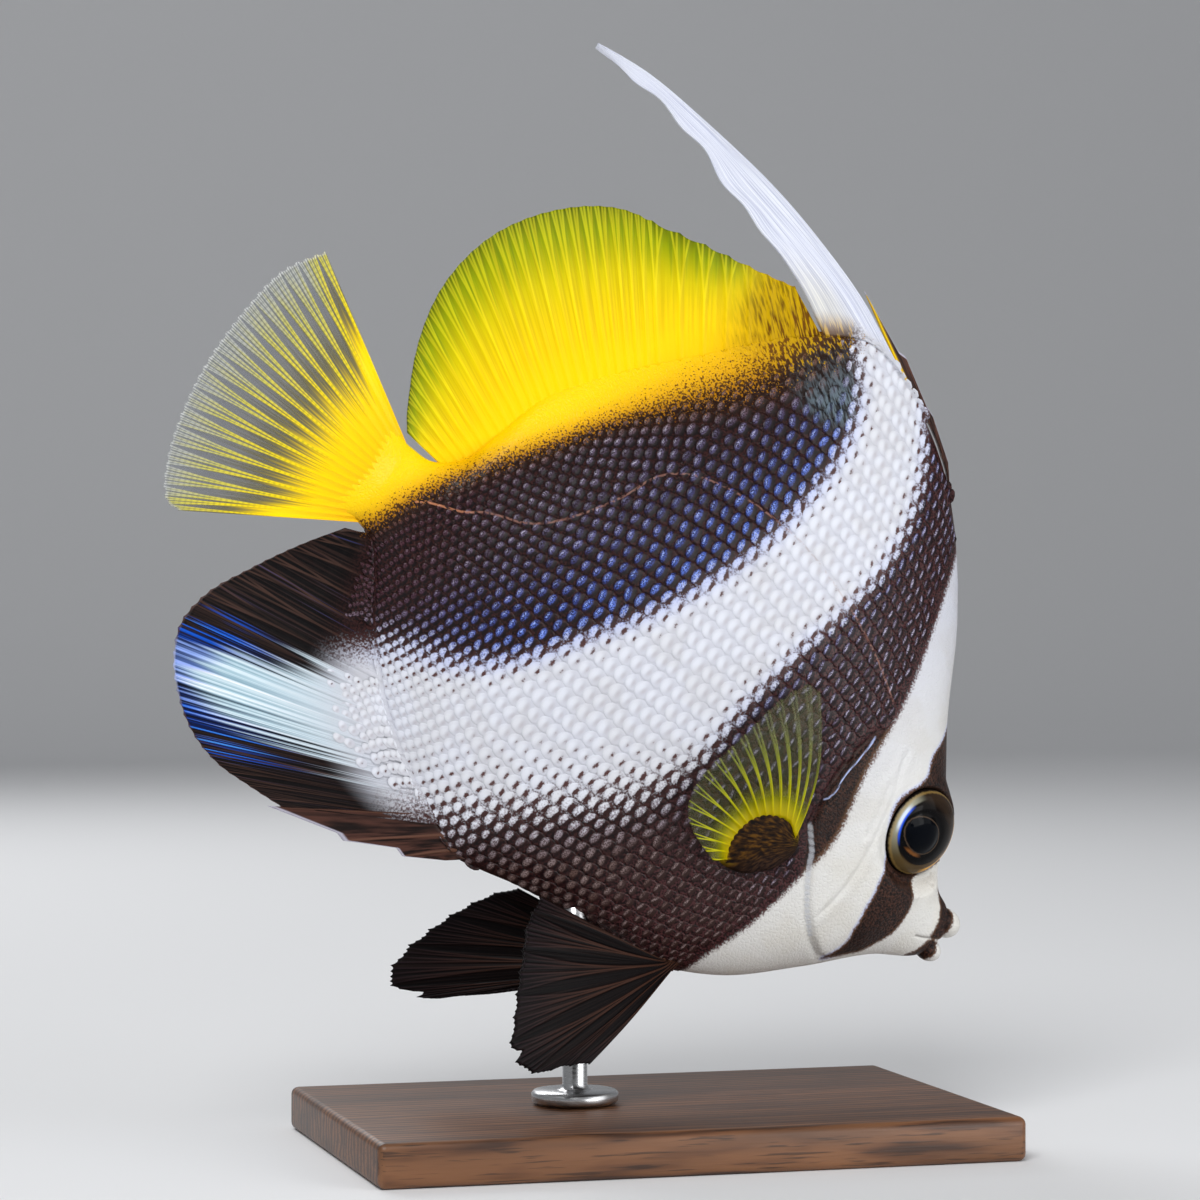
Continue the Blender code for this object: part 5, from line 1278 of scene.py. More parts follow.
def pelvicFinish(forks):
    # near black stained resin, its branching rays in warm brown
    finish, tree, shader = newFinish("blackFinResin")
    rays, out = rayMask(tree, forks, 0.06, 0.16)
    streak = fibre(tree, 12.0, 0.04)
    dark = addNode(tree, "Mix",
        {0: addNode(tree, "MapRange", {0: streak, 1: 0.38, 2: 0.72}, **smooth), 6: "#050304", 7: "#170E0D"},
        **colors)
    rayPaint = addNode(tree, "ValToRGB", {0: out},
        stops=[(0.0, "#4E3226"), (0.6, "#3C2720"), (1.0, "#1E161C")])
    dark = addNode(tree, "Mix",
        {0: addNode(tree, "Math",
        {0: rays, 1: addNode(tree, "MapRange", {0: streak, 1: 0.3, 2: 0.6, 3: 0.35, 4: 0.9}, **smooth)},
        operation="MULTIPLY"), 6: dark, 7: rayPaint}, **colors)
    bump = addNode(tree, "Bump", {"Strength": 0.6, "Distance": 0.0002, "Height": streak})
    plug(tree, shader, {"Base Color": dark, "Normal": bump, "Roughness": 0.42, "Specular IOR Level": 0.08})
    return finish


def pectoralFinish(forks):
    # clear film between olive yellow rays
    finish, tree, shader = newFinish("clearPectoralResin")
    rays, _ = rayMask(tree, forks, 0.07, 0.13)
    across = addNode(tree, "Attribute", out="Fac", attribute_name="across")
    reach = addNode(tree, "Attribute", out="Fac", attribute_name="reach")
    streak = fibre(tree, 9.0, 0.04)
    past = addNode(tree, "Math",
        {0: reach, 1: addNode(tree, "MapRange", {0: streak, 1: 0.3, 2: 0.7, 3: -0.3, 4: 0.3}, **smooth)},
        operation="ADD")
    rayPaint = addNode(tree, "MapRange", {0: past, 1: 0.0, 2: 15.0})
    rayPaint = addNode(tree, "ValToRGB", {0: rayPaint},
        stops=[(0.0, "#B89C00"), (0.12, "#CFC400"), (0.4, "#B2B200"), (0.7, "#7E8428"), (1.0, "#74784C")])
    film = addNode(tree, "MapRange", {0: past, 1: 0.0, 2: 6.0})
    film = addNode(tree, "ValToRGB", {0: film}, stops=[(0.0, "#C0AC00"), (0.45, "#8C8A06"), (1.0, "#565A3A")])
    color = addNode(tree, "Mix", {0: rays, 6: film, 7: rayPaint}, **colors)
    alpha = addNode(tree, "MapRange", {0: past, 1: 1.2, 2: 5.5, 3: 0.95, 4: 0.16}, **smooth)
    side = addNode(tree, "MapRange", {0: across, 1: 0.5, 2: 0.95, 3: 0.0, 4: 0.10}, **smooth)
    alpha = addNode(tree, "Math", {0: alpha, 1: side}, operation="ADD")
    rayAlpha = addNode(tree, "MapRange", {0: past, 1: 6.0, 2: 19.0, 3: 0.92, 4: 0.35}, **smooth)
    rayAlpha = addNode(tree, "Math", {0: rayAlpha, 1: rays}, operation="MULTIPLY")
    alpha = addNode(tree, "Math", {0: alpha, 1: rayAlpha}, operation="MAXIMUM")
    plug(tree, shader, {"Base Color": color, "Alpha": alpha, "Roughness": 0.34, "Specular IOR Level": 0.2})
    return finish


def padFinish():
    # stained wax: dark brown fur that runs out to a golden fringe at the feet of the rays
    finish, tree, shader = newFinish("brownFinRoot")
    spoke, x, y = (addNode(tree, "Attribute", out="Fac", attribute_name=name) for name in ("spoke", "spokeX",
        "spokeY"))
    # from the joint
    ray = addNode(tree, "VectorMath", {0: addNode(tree, "CombineXYZ", {0: x, 1: y}), 1: (-0.92, 0.62, 0.0)},
        operation="SUBTRACT")
    along = addNode(tree, "Math",
        {0: addNode(tree, "VectorMath", {0: ray}, out="Value", operation="LENGTH"), 1: 5.0},
        operation="MULTIPLY")
    ray = addNode(tree, "VectorMath", {0: ray}, operation="NORMALIZE")
    ray = addNode(tree, "VectorMath", {0: ray, 1: (16.0, 16.0, 16.0)}, operation="MULTIPLY")
    fur = addNode(tree, "VectorMath", {0: ray, 1: addNode(tree, "CombineXYZ", {2: along})}, operation="ADD")
    fur = addNode(tree, "TexNoise", {"Vector": fur, "Scale": 1.0, "Detail": 3.0})
    color = addNode(tree, "ValToRGB", {0: fur},
        stops=[(0.36, "#0E0704"), (0.52, "#2C1A08"), (0.70, "#583A10")])
    fringe = addNode(tree, "Math",
        {0: spoke, 1: addNode(tree, "MapRange", {0: fur, 1: 0.35, 2: 0.65, 3: -0.12, 4: 0.12}, **smooth)},
        operation="ADD")
    fringe = addNode(tree, "MapRange", {0: fringe, 1: 0.84, 2: 0.98}, **smooth)
    outward = addNode(tree, "Math", {0: y, 1: 0.6, 2: 0.4}, operation="MULTIPLY_ADD")
    outward = addNode(tree, "Math", {0: x, 1: 0.8, 2: outward}, operation="MULTIPLY_ADD")
    color = addNode(tree, "Mix",
        {0: addNode(tree, "Math",
        {0: fringe, 1: addNode(tree, "MapRange", {0: outward, 1: 0.0, 2: 0.5}, **smooth)},
        operation="MULTIPLY"), 6: color, 7: "#A88A06"}, **colors)
    # painted shade: darker to the pad's lower front side, under its fold
    color = addNode(tree, "Mix",
        {0: addNode(tree, "MapRange", {0: outward, 1: 0.35, 2: -0.55, 3: 0.0, 4: 0.9}, **smooth), 6: color,
        7: addNode(tree, "Mix", {0: addNode(tree, "MapRange", {0: fur, 1: 0.4, 2: 0.6}, **smooth),
        6: "#1A1010", 7: "#33241F"}, **colors)}, **colors)
    bump = addNode(tree, "Bump", {"Strength": 0.7, "Distance": 0.0002, "Height": fur})
    plug(tree, shader, {"Base Color": color, "Normal": bump, "Roughness": 0.6, "Specular IOR Level": 0.1})
    return finish


def makeMedianFins():
    plan = fins["frontSpines"]
    tips, root = np.array(plan["tips"]), rootLine(backLine, plan["base"], 1)
    stepped = lambda across, ends, at: np.stack([np.interp(across, at, ends[:, 0]),
        np.interp(across, at, ends[:, 1])], axis=1)
    growFin("frontSpines", "dorsal_spines_front", spineFinish("frontSpineLacquer", 2.78),
            lambda across, out: between(root(across), stepped(across, tips, plan["at"]), out),
            lambda across: np.interp(across, [0.0, 0.24, 0.34, 0.57, 0.67, 0.99, 1.0],
            [0.5, 1.0, 1.5, 2.0, 2.5, 3.0, 3.0]), (90, 24),
            thickOf=lambda across, out: 0.5 * (1 - out) ** 2)

    plan = fins["banner"]
    front, rear = outlineOf(plan["front"]), outlineOf(plan["rear"])
    bannerRoot = rootLine(backLine, plan["base"], 1)

    def bannerAt(across, out):
        flat = between(front(out), rear(out), across)
        chord = between(np.broadcast_to(front(0.0), flat.shape), np.broadcast_to(rear(0.0), flat.shape),
            across)
        flat = flat + (bannerRoot(across) - chord) * ((1 - out) ** 4)[:, None]
        # the trailing edge ripples
        ripple = 0.35 * np.sin(out * 34 + 0.6) * ease(across, 0.5, 1.0) * ease(out, 0.15,
            0.4) * (1 - ease(out, 0.85, 1.0))
        flat[:, 1] += ripple
        wave = 0.5 * np.sin(out * 11 + 2 * across) * ease(out, 0.1, 0.4)
        return np.hstack([flat, wave[:, None]])
    growFin("bannerFilament", "banner", bannerFinish(), bannerAt, lambda across: across * 3,
        (40, 150), ridge=0.0,
            thickOf=lambda across, out: 0.9 * np.clip(1 - across / 0.3, 0,
            1) * (1 - 0.75 * out) + 0.5 * np.clip(1 - out / 0.2, 0, 1))

    plan = fins["dorsal"]
    dorsalRoot, margin = rootLine(backLine, plan["base"], 1), outlineOf(plan["margin"])
    spines, spiny = plan["spines"], plan["spiny"]
    forks = [(0.45, 0.25), (0.75, 0.11)]

    def dorsalAt(across, out):
        flat = between(dorsalRoot(across), margin(across ** 1.35), out)
        sway = 0.5 * np.sin(across * 17) * out ** 2
        return np.hstack([flat, sway[:, None]])

    def dorsalMargin(ray, across):
        notch = 0.030 * (1 - ease(ray, 6, 9)) + 0.006
        return 1 - notch * np.sin(math.pi * (ray % 1.0)) ** 0.7 * (0.4 + 0.6 * (ray % 1.0))
    growFin("dorsalFin", "dorsal_fin", dorsalFinish(forks), dorsalAt,
            lambda across: np.interp(across, [0, spiny, 1], [0, spines, spines + plan["rays"] - 1]),
            (31 * 9, 56), forks,
            marginOf=dorsalMargin, thickOf=lambda across, out: 0.4 * np.clip(1 - out / 0.3, 0, 1) ** 2)

    plan = fins["caudal"]
    tailMargin = outlineOf(plan["margin"])
    tailBase = np.array(plan["base"])
    tailForks = [(0.30, 0.25), (0.55, 0.125), (0.80, 0.06)]

    def caudalAt(across, out):
        root = between(np.broadcast_to(tailBase[0], (len(across), 2)),
            np.broadcast_to(tailBase[1], (len(across), 2)), across)
        flat = between(root, tailMargin(across), out)
        sway = 0.7 * np.sin(across * 9 + 1) * out ** 2
        return np.hstack([flat, sway[:, None]])
    growFin("caudalFin", "caudal_fin", caudalFinish(tailForks), caudalAt,
        lambda across: across * 16, (16 * 14, 56), tailForks,
            marginOf=lambda ray, across: 1 - 0.012 * np.abs(np.sin(math.pi * ray * 2)), sunk=3.0,
            thickOf=lambda across, out: 4.2 * np.clip(1 - out / 0.35, 0, 1) ** 2 * np.sin(math.pi * across))

    plan = fins["analSpines"]
    analTips, analSpineRoot = np.array(plan["tips"]), rootLine(bellyLine, plan["base"], -1)
    growFin("analSpines", "anal_spines", spineFinish("rearSpineLacquer", 9.0),
            lambda across, out: between(analSpineRoot(across),
            stepped(across, analTips, fins["analSpines"]["at"]), out),
            lambda across: np.interp(across, [0.0, 0.24, 0.34, 0.57, 0.67, 0.99, 1.0],
            [0.5, 1.0, 1.5, 2.0, 2.5, 3.0, 3.0]), (90, 30),
            thickOf=lambda across, out: 0.6 * (1 - out) ** 2)

    plan = fins["anal"]
    analRoot, analMargin = rootLine(bellyLine, plan["base"], -1), outlineOf(plan["margin"])
    analForks = [(0.40, 0.25), (0.70, 0.12)]

    def analAt(across, out):
        flat = between(analRoot(across ** 1.5), analMargin(across), out)      # the rays slope to the tail
        sway = 0.6 * np.sin(across * 8) * out ** 2
        return np.hstack([flat, sway[:, None]])
    piece = growFin("analFin", "anal_fin", analFinish(analForks), analAt,
        lambda across: across * 17, (17 * 12, 52), analForks,
                    marginOf=lambda ray, across: 1 - 0.008 * np.abs(np.sin(math.pi * ray * 2)),
                    thickOf=lambda across, out: 1.3 * np.clip(1 - out / 0.42, 0, 1) ** 1.6)
    world = pointsOf(piece.data) / mm
    sine, cosine = math.sin(math.radians(pose["pitch"])), math.cos(math.radians(pose["pitch"]))
    across, up = pose["snoutX"] - world[:, 0], world[:, 2] - pose["snoutZ"]
    setValues(piece.data, "ice",
        np.clip(loopDepth(np.stack([across * cosine + up * sine, up * cosine - across * sine], axis=1),
        marks["ice"]), -9, 9))


def flankWidth(places):
    # how far out the flank lies at places of the side view
    return skinAt(*skinPlace(places[:, 0], places[:, 1]))[:, 2]


def makePairedFins():
    plan = fins["pectoral"]
    pectoralForks = [(0.42, 0.17)]
    film, brown = pectoralFinish(pectoralForks), padFinish()
    pelvicForks = [(0.10, 0.25), (0.32, 0.125), (0.60, 0.0625)]
    black = pelvicFinish(pelvicForks)
    for side, word in ((1, "left"), (-1, "right")):
        tips = outlineOf(np.array(plan["tips"]) * (1, 1, side))
        feet = outlineOf(plan["feet"])

        def pectoralAt(across, out):
            foot = feet(across)
            root = np.hstack([foot, ((flankWidth(foot) + 0.9) * side)[:, None]])
            points = between(root, tips(across), out)
            points[:, 0] -= plan["sweep"] * np.sin(math.pi * out) * (1 - across) ** 2
            points[:, 2] += plan["bow"] * np.sin(math.pi * out) * side
            return points
        name = "pectoral" + word.capitalize()
        growFin(name, f"pectoral_fin_{word}", film, pectoralAt,
            lambda across: across * (plan["rays"] - 1),
                ((plan["rays"] - 1) * 10, 40), pectoralForks, sunk=0.8, ridge=0.3,
                marginOf=lambda ray, across: 1 - 0.015 * np.abs(np.sin(math.pi * ray)),
                thickOf=lambda across, out: 0.5 * np.clip(1 - out / 0.12, 0, 1))

        # the fleshy dome that the rays stand round
        bm = bmesh.new()
        bmesh.ops.create_uvsphere(bm, u_segments=48, v_segments=32, radius=1.0)
        mesh = meshFrom(bm, name + "Root")
        unit = pointsOf(mesh)
        spokes = np.array(plan["dome"]) - plan["domeMiddle"]
        bearings = np.arctan2(spokes[:, 1], spokes[:, 0])
        reach = np.interp(np.arctan2(unit[:, 1], unit[:, 0]), bearings, np.hypot(spokes[:, 0], spokes[:, 1]),
            period=2 * math.pi)
        places = unit[:, :2] * reach[:, None] + plan["domeMiddle"]
        rise = np.where(unit[:, 2] > 0, plan["domeHeight"] * np.maximum(unit[:, 2], 0) ** 0.8 - 0.1,
            0.6 * unit[:, 2] - 0.1)
        setValues(mesh, "spoke", np.hypot(unit[:, 0], unit[:, 1]))
        setValues(mesh, "spokeX", unit[:, 0])
        setValues(mesh, "spokeY", unit[:, 1])
        setPoints(mesh, toWorld(np.hstack([places, ((flankWidth(places) + rise) * side)[:, None]])))
        if side < 0:
            mesh.flip_normals()
        addPiece(name + "Root", mesh, brown)

        pelvic = fins["pelvic"]
        root = np.array(pelvic["root"]) * (1, 1, side)
        pelvicTips = outlineOf(np.array(pelvic[word]) * (1, 1, side))

        def pelvicAt(across, out):
            start = np.stack([root[0] - 1 + 2 * across, np.full(len(across), root[1] - 0.6),
                np.full(len(across), root[2] + 0.5 * side)], axis=1)
            points = between(start, pelvicTips(across), out)
            points[:, 2] += pelvic["bow"] * np.sin(math.pi * out) * side
            return points

        def pelvicMargin(ray, across):
            branch = np.abs(np.sin(math.pi * ray * 2))
            return (1 - 0.016 * branch ** 0.8 - 0.010 * np.abs(np.sin(math.pi * ray * 8))
            - 0.05 * np.exp(-((across - 0.36) / 0.02) ** 2))
        growFin("pelvic" + word.capitalize(), f"pelvic_fin_{word}", black, pelvicAt,
            lambda across: across * 6, (6 * 32, 54), pelvicForks,
                marginOf=pelvicMargin, ridge=0.55, thickOf=lambda across,
                out: 1.0 * np.clip(1 - out / 0.4, 0, 1) ** 2)


# The eyes


def eyeFinish():
    # cast glass eye: painted iris under a clear dome, with a painted reflection on its upper rear
    finish, tree, shader = newFinish("castGlassEye")
    a = addNode(tree, "Attribute", out="Fac", attribute_name="eyeRear")
    b = addNode(tree, "Attribute", out="Fac", attribute_name="eyeUp")
    spot = addNode(tree, "CombineXYZ", {0: a, 1: b})
    grain = addNode(tree, "TexNoise", {"Vector": spot, "Scale": 2.0, "Detail": 3.0})
    wobble = addNode(tree, "MapRange", {0: grain, 1: 0.3, 2: 0.7, 3: -0.03, 4: 0.03}, **smooth)
    outer = addNode(tree, "Math",
        {0: addNode(tree, "VectorMath", {0: spot}, out="Value", operation="LENGTH"), 1: wobble},
        operation="ADD")
    pupil = addNode(tree, "VectorMath", {0: spot, 1: (*eye["pupil"], 0.0)}, operation="SUBTRACT")
    widened = addNode(tree, "VectorMath", {0: pupil, 1: (0.80, 1.02, 1.0)}, operation="MULTIPLY")
    inner = addNode(tree, "VectorMath", {0: widened}, out="Value", operation="LENGTH")
    inner = addNode(tree, "Math", {0: inner, 1: wobble}, operation="ADD")
    ringAt = addNode(tree, "Math", {0: inner, 1: 1 / 7.0}, operation="MULTIPLY")
    color = addNode(tree, "ValToRGB", {0: ringAt},
        stops=[(0.0, "#00030A"), (0.405, "#010308"), (0.43, "#4A3C30"), (0.45, "#080707"),
                                                          (0.58, "#070607"), (0.72, "#110D0B"),
                                                          (0.86, "#2A2018")])
    # to the left of the picture
    rearward = addNode(tree, "VectorMath", {0: pupil, 1: (0.8, -0.6, 0.0)}, out="Value",
        operation="DOT_PRODUCT")
    # and to its top
    skyward = addNode(tree, "VectorMath", {0: pupil, 1: (0.6, 0.8, 0.0)}, out="Value",
        operation="DOT_PRODUCT")

    shifted = addNode(tree, "VectorMath", {0: spot, 1: (0.75, 0.0, 0.0)}, operation="SUBTRACT")
    shifted = addNode(tree, "VectorMath", {0: shifted}, out="Value", operation="LENGTH")

    def ring(radius, low, high, lean, leanLow, leanHigh, most=1.0, stopRadius=None):
        # a band of the iris, in mm, that shows on one side only
        start = addNode(tree, "MapRange", {0: radius, 1: low - 0.2, 2: low + 0.1}, **smooth)
        stop = addNode(tree, "MapRange",
            {0: stopRadius or radius, 1: high - 0.1, 2: high + 0.2, 3: 1.0, 4: 0.0}, **smooth)
        band = addNode(tree, "Math", {0: start, 1: stop}, operation="MULTIPLY")
        return addNode(tree, "Math",
            {0: band, 1: addNode(tree, "MapRange", {0: lean, 1: leanLow, 2: leanHigh, 3: 0.0, 4: most},
            **smooth)}, operation="MULTIPLY")
    silver = addNode(tree, "Mix",
        {0: addNode(tree, "MapRange", {0: skyward, 1: -4.0, 2: 3.0}, **smooth), 6: "#5C5138", 7: "#A5A490"},
        **colors)
    color = addNode(tree, "Mix",
        {0: ring(shifted, 5.72, 7.1, rearward, -1.2, 2.4, 0.95, outer), 6: color, 7: silver}, **colors)
    color = addNode(tree, "Mix",
        {0: ring(shifted, 5.5, 7.1, skyward, -2.6, -4.6, 0.7, outer), 6: color, 7: "#5A4628"}, **colors)
    # painted reflection: a blue crescent at the inner edge of the silver, to the upper rear
    blueReflection = addNode(tree, "Math",
        {0: ring(shifted, 5.42, 5.62, rearward, 1.2, 2.8),
        1: addNode(tree, "MapRange", {0: skyward, 1: -2.0, 2: 0.6}, **smooth)}, operation="MULTIPLY")
    color = addNode(tree, "Mix", {0: blueReflection, 6: color, 7: "#2858E0"}, **colors)
    # painted reflection: a pale crescent beside the blue one
    paleReflection = addNode(tree, "Math",
        {0: ring(shifted, 5.68, 6.0, rearward, 1.6, 3.2),
        1: addNode(tree, "MapRange", {0: skyward, 1: 0.2, 2: 2.4}, **smooth)}, operation="MULTIPLY")
    color = addNode(tree, "Mix", {0: paleReflection, 6: color, 7: "#D4E0F4"}, **colors)
    gilt = addNode(tree, "Mix",
        {0: addNode(tree, "MapRange", {0: skyward, 1: -3.0, 2: 2.5}, **smooth), 6: "#E0A444", 7: "#30241A"},
        **colors)
    color = addNode(tree, "Mix", {0: ring(outer, 6.0, 6.9, rearward, -1.0, -3.6, 0.9), 6: color, 7: gilt},
        **colors)
    amber = ring(inner, 3.15, 3.6, skyward, -1.6, -2.6, 0.75)
    amber = addNode(tree, "Math",
        {0: amber, 1: addNode(tree, "MapRange", {0: rearward, 1: -0.6, 2: 1.0}, **smooth)},
        operation="MULTIPLY")
    color = addNode(tree, "Mix", {0: amber, 6: color, 7: "#8A562A"}, **colors)
    color = addNode(tree, "Mix", {0: ring(outer, 7.0, 7.12, outer, 0.0, 1.0, 0.6), 6: color, 7: "#9A7C42"},
        **colors)
    color = addNode(tree, "Mix",
        {0: addNode(tree, "MapRange", {0: outer, 1: 7.15, 2: 7.3}, **smooth), 6: color, 7: "#0E0A08"},
        **colors)
    plug(tree, shader, {"Base Color": color, "Roughness": 0.09, "Specular IOR Level": 0.06})
    return finish


def makeEyes():
    glass = eyeFinish()
    for side, word in ((1, "left"), (-1, "right")):
        centre, rearward, up, facing = eyeFrame(side)
        bm = bmesh.new()
        bmesh.ops.create_uvsphere(bm, u_segments=66, v_segments=64, radius=1.0)
        mesh = meshFrom(bm, "eye" + word.capitalize())
        unit = pointsOf(mesh)
        lift = unit[:, 2] * eye["depth"]
        front = unit[:, 2] > 0
        # the iris ring is low, and the lens domes out over the pupil
        offset = np.hypot(unit[:, 0] * eye["radius"] - eye["pupil"][0],
            unit[:, 1] * eye["radius"] - eye["pupil"][1])
        dome = 0.30 * np.exp(-(offset / 3.0) ** 4) - 0.15 * np.exp(-((offset - 3.5) / 0.7) ** 2)
        lift += np.where(front, dome, 0)
        points = (centre + unit[:, :1] * eye["radius"] * rearward + unit[:, 1:2] * eye["radius"] * up
            + lift[:, None] * facing)
        setValues(mesh, "eyeRear", unit[:, 0] * eye["radius"])
        setValues(mesh, "eyeUp", unit[:, 1] * eye["radius"])
        setPoints(mesh, toWorld(points))
        if side < 0:
            mesh.flip_normals()
        addPiece("glassEye" + word.capitalize(), mesh, glass, (f"eye_{word}",))


# The display stand

stand = {
    "base": (104.0, 68.0, 7.0),
    "edge": 1.2,
    "rodX": -12.2,
    "rodRadius": 2.0,
    "rodTop": 51.9,
    "foot": (7.0, 2.0),     # radius and height of the rod's foot
    "gap": 0.3,
}


def makeStand():
    # oiled walnut: warm brown with darker growth lines along the board
    walnut, tree, shader = newFinish("oiledWalnut")
    place = addNode(tree, "TexCoord", out="Object")
    board = addNode(tree, "Mapping", {"Vector": place, "Scale": (8.0, 60.0, 60.0)})
    drift = addNode(tree, "TexNoise", {"Vector": board, "Scale": 2.2, "Detail": 3.0, "Distortion": 0.6})
    lines = addNode(tree, "TexWave",
        {"Vector": board, "Scale": 2.4, "Distortion": 7.0, "Detail": 3.0, "Detail Scale": 1.4},
        bands_direction="Y")
    # pores 0.4 mm wide, 8 mm long
    pores = addNode(tree, "Mapping", {"Vector": place, "Scale": (120.0, 2400.0, 2400.0)})
    pores = addNode(tree, "TexNoise", {"Vector": pores, "Scale": 1.0, "Detail": 2.0})
    color = addNode(tree, "ValToRGB", {0: lines},
        stops=[(0.1, "#4A2D1B"), (0.5, "#6B4429"), (0.9, "#7D5334")])
    color = addNode(tree, "Mix",
        {0: addNode(tree, "MapRange", {0: drift, 1: 0.35, 2: 0.7, 3: 0.0, 4: 0.5}, **smooth), 6: color,
        7: "#3B2416"}, **colors, blend_type="MULTIPLY")
    color = addNode(tree, "Mix",
        {0: addNode(tree, "MapRange", {0: pores, 1: 0.56, 2: 0.68, 3: 0.0, 4: 0.7}, **smooth), 6: color,
        7: "#2A190F"}, **colors)
    bump = addNode(tree, "Bump", {"Strength": 0.3, "Distance": 0.0001, "Height": pores})
    plug(tree, shader, {"Base Color": color, "Normal": bump, "Roughness": 0.42})
    bm = bmesh.new()
    bmesh.ops.create_cube(bm, size=1.0)
    bmesh.ops.scale(bm, vec=Vector(stand["base"]) * mm, verts=bm.verts)
    bmesh.ops.translate(bm, vec=Vector((0, 0, stand["base"][2] / 2)) * mm, verts=bm.verts)
    bmesh.ops.bevel(bm, geom=bm.edges, offset=stand["edge"] * mm, offset_type="OFFSET", segments=4,
        profile=0.5, affect="EDGES", material=-1)
    addPiece("walnutBase", meshFrom(bm, "walnutBase"), walnut, ("stand_base",))

    # satin turned steel: fine rings from the lathe
    steel, tree, shader = newFinish("satinSteel")
    place = addNode(tree, "TexCoord", out="Object")
    # rings 0.1 mm apart
    rings = addNode(tree, "Mapping", {"Vector": place, "Scale": (60.0, 60.0, 9000.0)})
    rings = addNode(tree, "TexNoise", {"Vector": rings, "Scale": 1.0, "Detail": 2.0})
    rough = addNode(tree, "MapRange", {0: rings, 1: 0.3, 2: 0.7, 3: 0.2, 4: 0.36})
    bump = addNode(tree, "Bump", {"Strength": 0.15, "Distance": 0.00005, "Height": rings})
    plug(tree, shader, {"Roughness": rough, "Normal": bump, "Base Color": "#C9CACC", "Metallic": 1.0})
    footBottom = stand["base"][2] + stand["gap"]
    footRadius, footHeight = stand["foot"]
    r, edge, top = stand["rodRadius"], 0.4, stand["rodTop"]
    profile = [(0, footBottom), (footRadius - edge, footBottom), (footRadius, footBottom + edge),
               (footRadius, footBottom + footHeight - edge), (footRadius - edge, footBottom + footHeight),
               (r + 1.0, footBottom + footHeight), (r + 0.3, footBottom + footHeight + 0.3),
               (r, footBottom + footHeight + 1.0),
               (r, top - edge), (r - edge, top), (0, top)]
    bm = bmesh.new()
    verts = [bm.verts.new(Vector((x + stand["rodX"], 0, z)) * mm) for x, z in profile]
    edges = [bm.edges.new(pair) for pair in zip(verts, verts[1:])]
    axis = Vector((stand["rodX"] * mm, 0, 0))
    bmesh.ops.spin(bm, geom=verts + edges, cent=axis, axis=(0, 0, 1), angle=2 * math.pi, steps=48,
        use_merge=True)
    bmesh.ops.remove_doubles(bm, verts=bm.verts, dist=0.00001)
    bmesh.ops.recalc_face_normals(bm, faces=bm.faces)
    addPiece("steelRod", meshFrom(bm, "steelRod"), steel, ("stand_rod",))


# Camera, light and floor


studio = {
    "bearing": -16.0,                   # degrees that the camera stands round from the fish's right side
    "target": (-0.008, 0.0, 0.088),
    "distance": 0.590,
    "lens": 109.9,
    "air": ("#D6D7D9", 0.38),           # colour and strength of the light all round
    "paper": "#E6E7E9",
    "lamps": {
        # place, aim, size and power of a soft panel
        "key": ((-0.45, -0.75, 0.85), (0.0, 0.0, 0.09), 0.5, 8.4),
        "fill": ((0.75, -0.6, 0.35), (0.0, 0.0, 0.08), 0.7, 2.4),
        "back": ((-0.2, 0.8, 0.7), (0.0, 0.0, 0.1), 0.6, 4.0),
        "low": ((0.45, -0.75, 0.03), (0.02, 0.0, 0.07), 0.5, 3.4),
    },
}


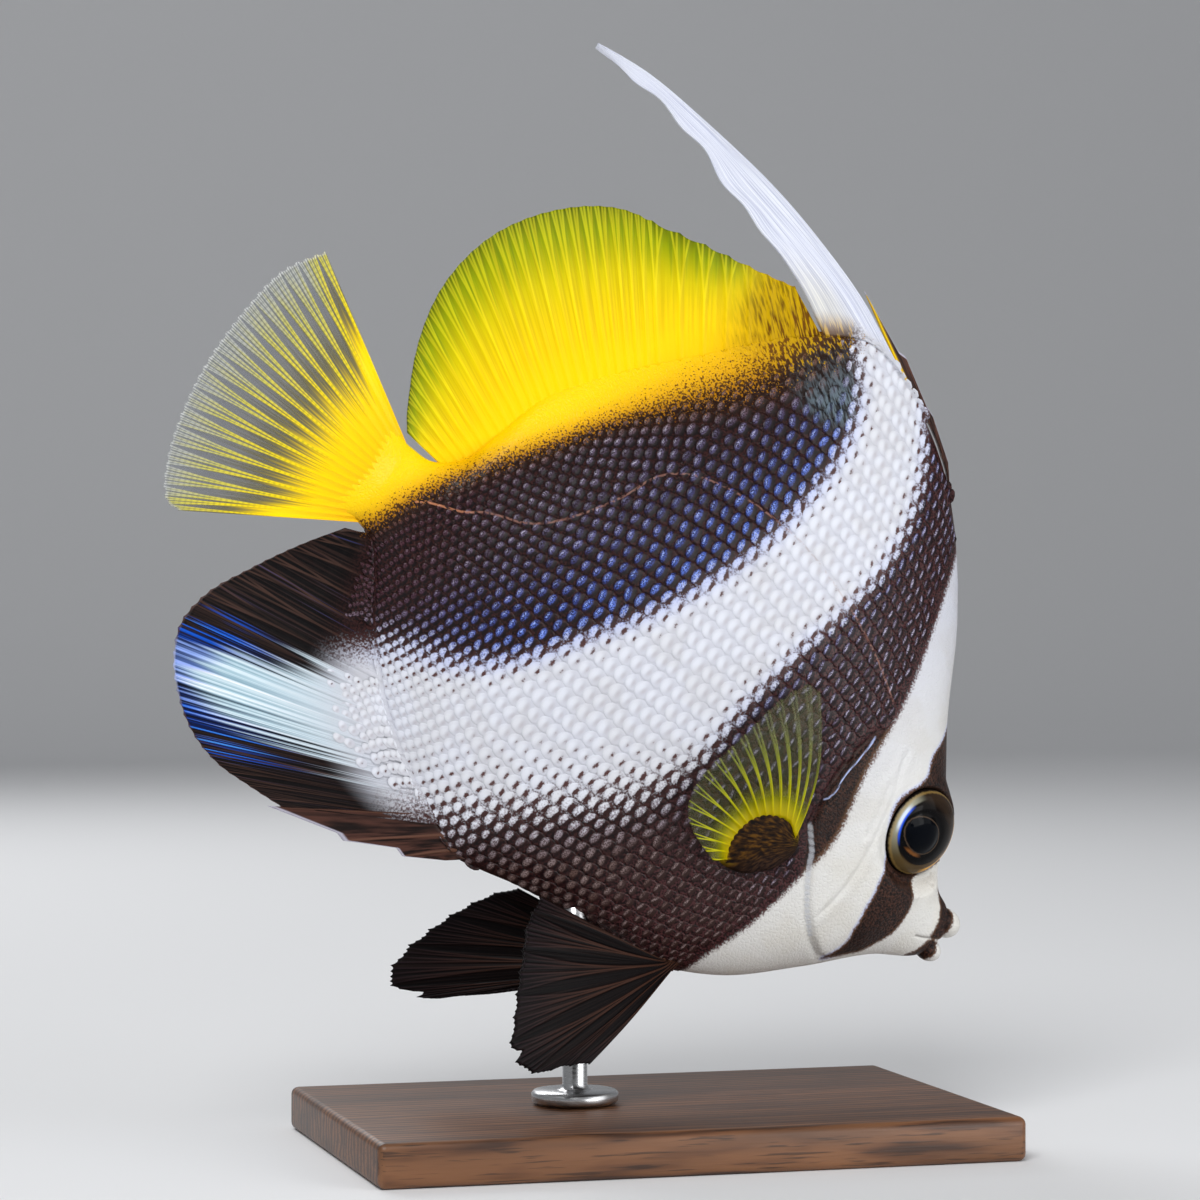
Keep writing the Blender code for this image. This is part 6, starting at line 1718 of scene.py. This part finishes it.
def makeStage():
    camera = bpy.data.objects.new("camera", bpy.data.cameras.new("camera"))
    bpy.context.scene.collection.objects.link(camera)
    bearing = math.radians(studio["bearing"])
    back = Vector((math.sin(bearing), -math.cos(bearing), 0.0))
    camera.location = Vector(studio["target"]) + back * studio["distance"]
    camera.rotation_mode = "QUATERNION"
    camera.rotation_quaternion = (-back).to_track_quat("-Z", "Y")
    camera.data.lens = studio["lens"]
    camera.data.sensor_width = 36.0
    camera.data.clip_start = 0.02
    camera.data.clip_end = 30.0
    bpy.context.scene.camera = camera

    world = bpy.data.worlds.new("studioAir")
    bpy.context.scene.world = world
    world.use_nodes = True
    color, strength = studio["air"]
    plug(world.node_tree, world.node_tree.nodes["Background"], {"Color": color, "Strength": strength})
    # painted colours stay as saturated as they are
    bpy.context.scene.view_settings.view_transform = "Standard"

    for name, (place, aim, size, power) in studio["lamps"].items():
        lamp = bpy.data.objects.new(name, bpy.data.lights.new(name, "AREA"))
        bpy.context.scene.collection.objects.link(lamp)
        lamp.data.size = size
        lamp.data.energy = power
        lamp.location = place
        lamp.rotation_mode = "QUATERNION"
        lamp.rotation_quaternion = (Vector(aim) - Vector(place)).to_track_quat("-Z", "Y")

    # a sheet of paper: flat under the model, and swept up behind it
    bm = bmesh.new()
    bmesh.ops.create_grid(bm, x_segments=1, y_segments=1, size=4.0)
    bmesh.ops.translate(bm, vec=(0.0, -2.6, 0.0), verts=bm.verts)
    rearEdge = [edge for edge in bm.edges if all(vert.co.y > 1.0 for vert in edge.verts)]
    swept = bmesh.ops.spin(bm, geom=rearEdge, cent=(0.0, 1.4, 0.7), axis=(1.0, 0.0, 0.0), angle=math.pi / 2,
        steps=32)["geom_last"]
    wall = bmesh.ops.extrude_edge_only(bm,
        edges=[part for part in swept if isinstance(part, bmesh.types.BMEdge)])["geom"]
    bmesh.ops.translate(bm, vec=(0.0, 0.0, 3.0),
        verts=[part for part in wall if isinstance(part, bmesh.types.BMVert)])
    bmesh.ops.recalc_face_normals(bm, faces=bm.faces)
    floor = bpy.data.objects.new("floor", meshFrom(bm, "floor"))
    bpy.context.scene.collection.objects.link(floor)
    finish, tree, shader = newFinish("paleMattPaper")
    plug(tree, shader, {"Base Color": studio["paper"], "Roughness": 0.9})
    floor.data.materials.append(finish)


makeStage()
print("stage: camera, lamps and floor")
makeSkin(fishSkinFinish())
scalePaint = scaleFinish()
makeCoat("scalesLeft", 1, scalePaint)
makeCoat("scalesRight", -1, scalePaint)
makeMedianFins()
makePairedFins()
makeEyes()
makeStand()
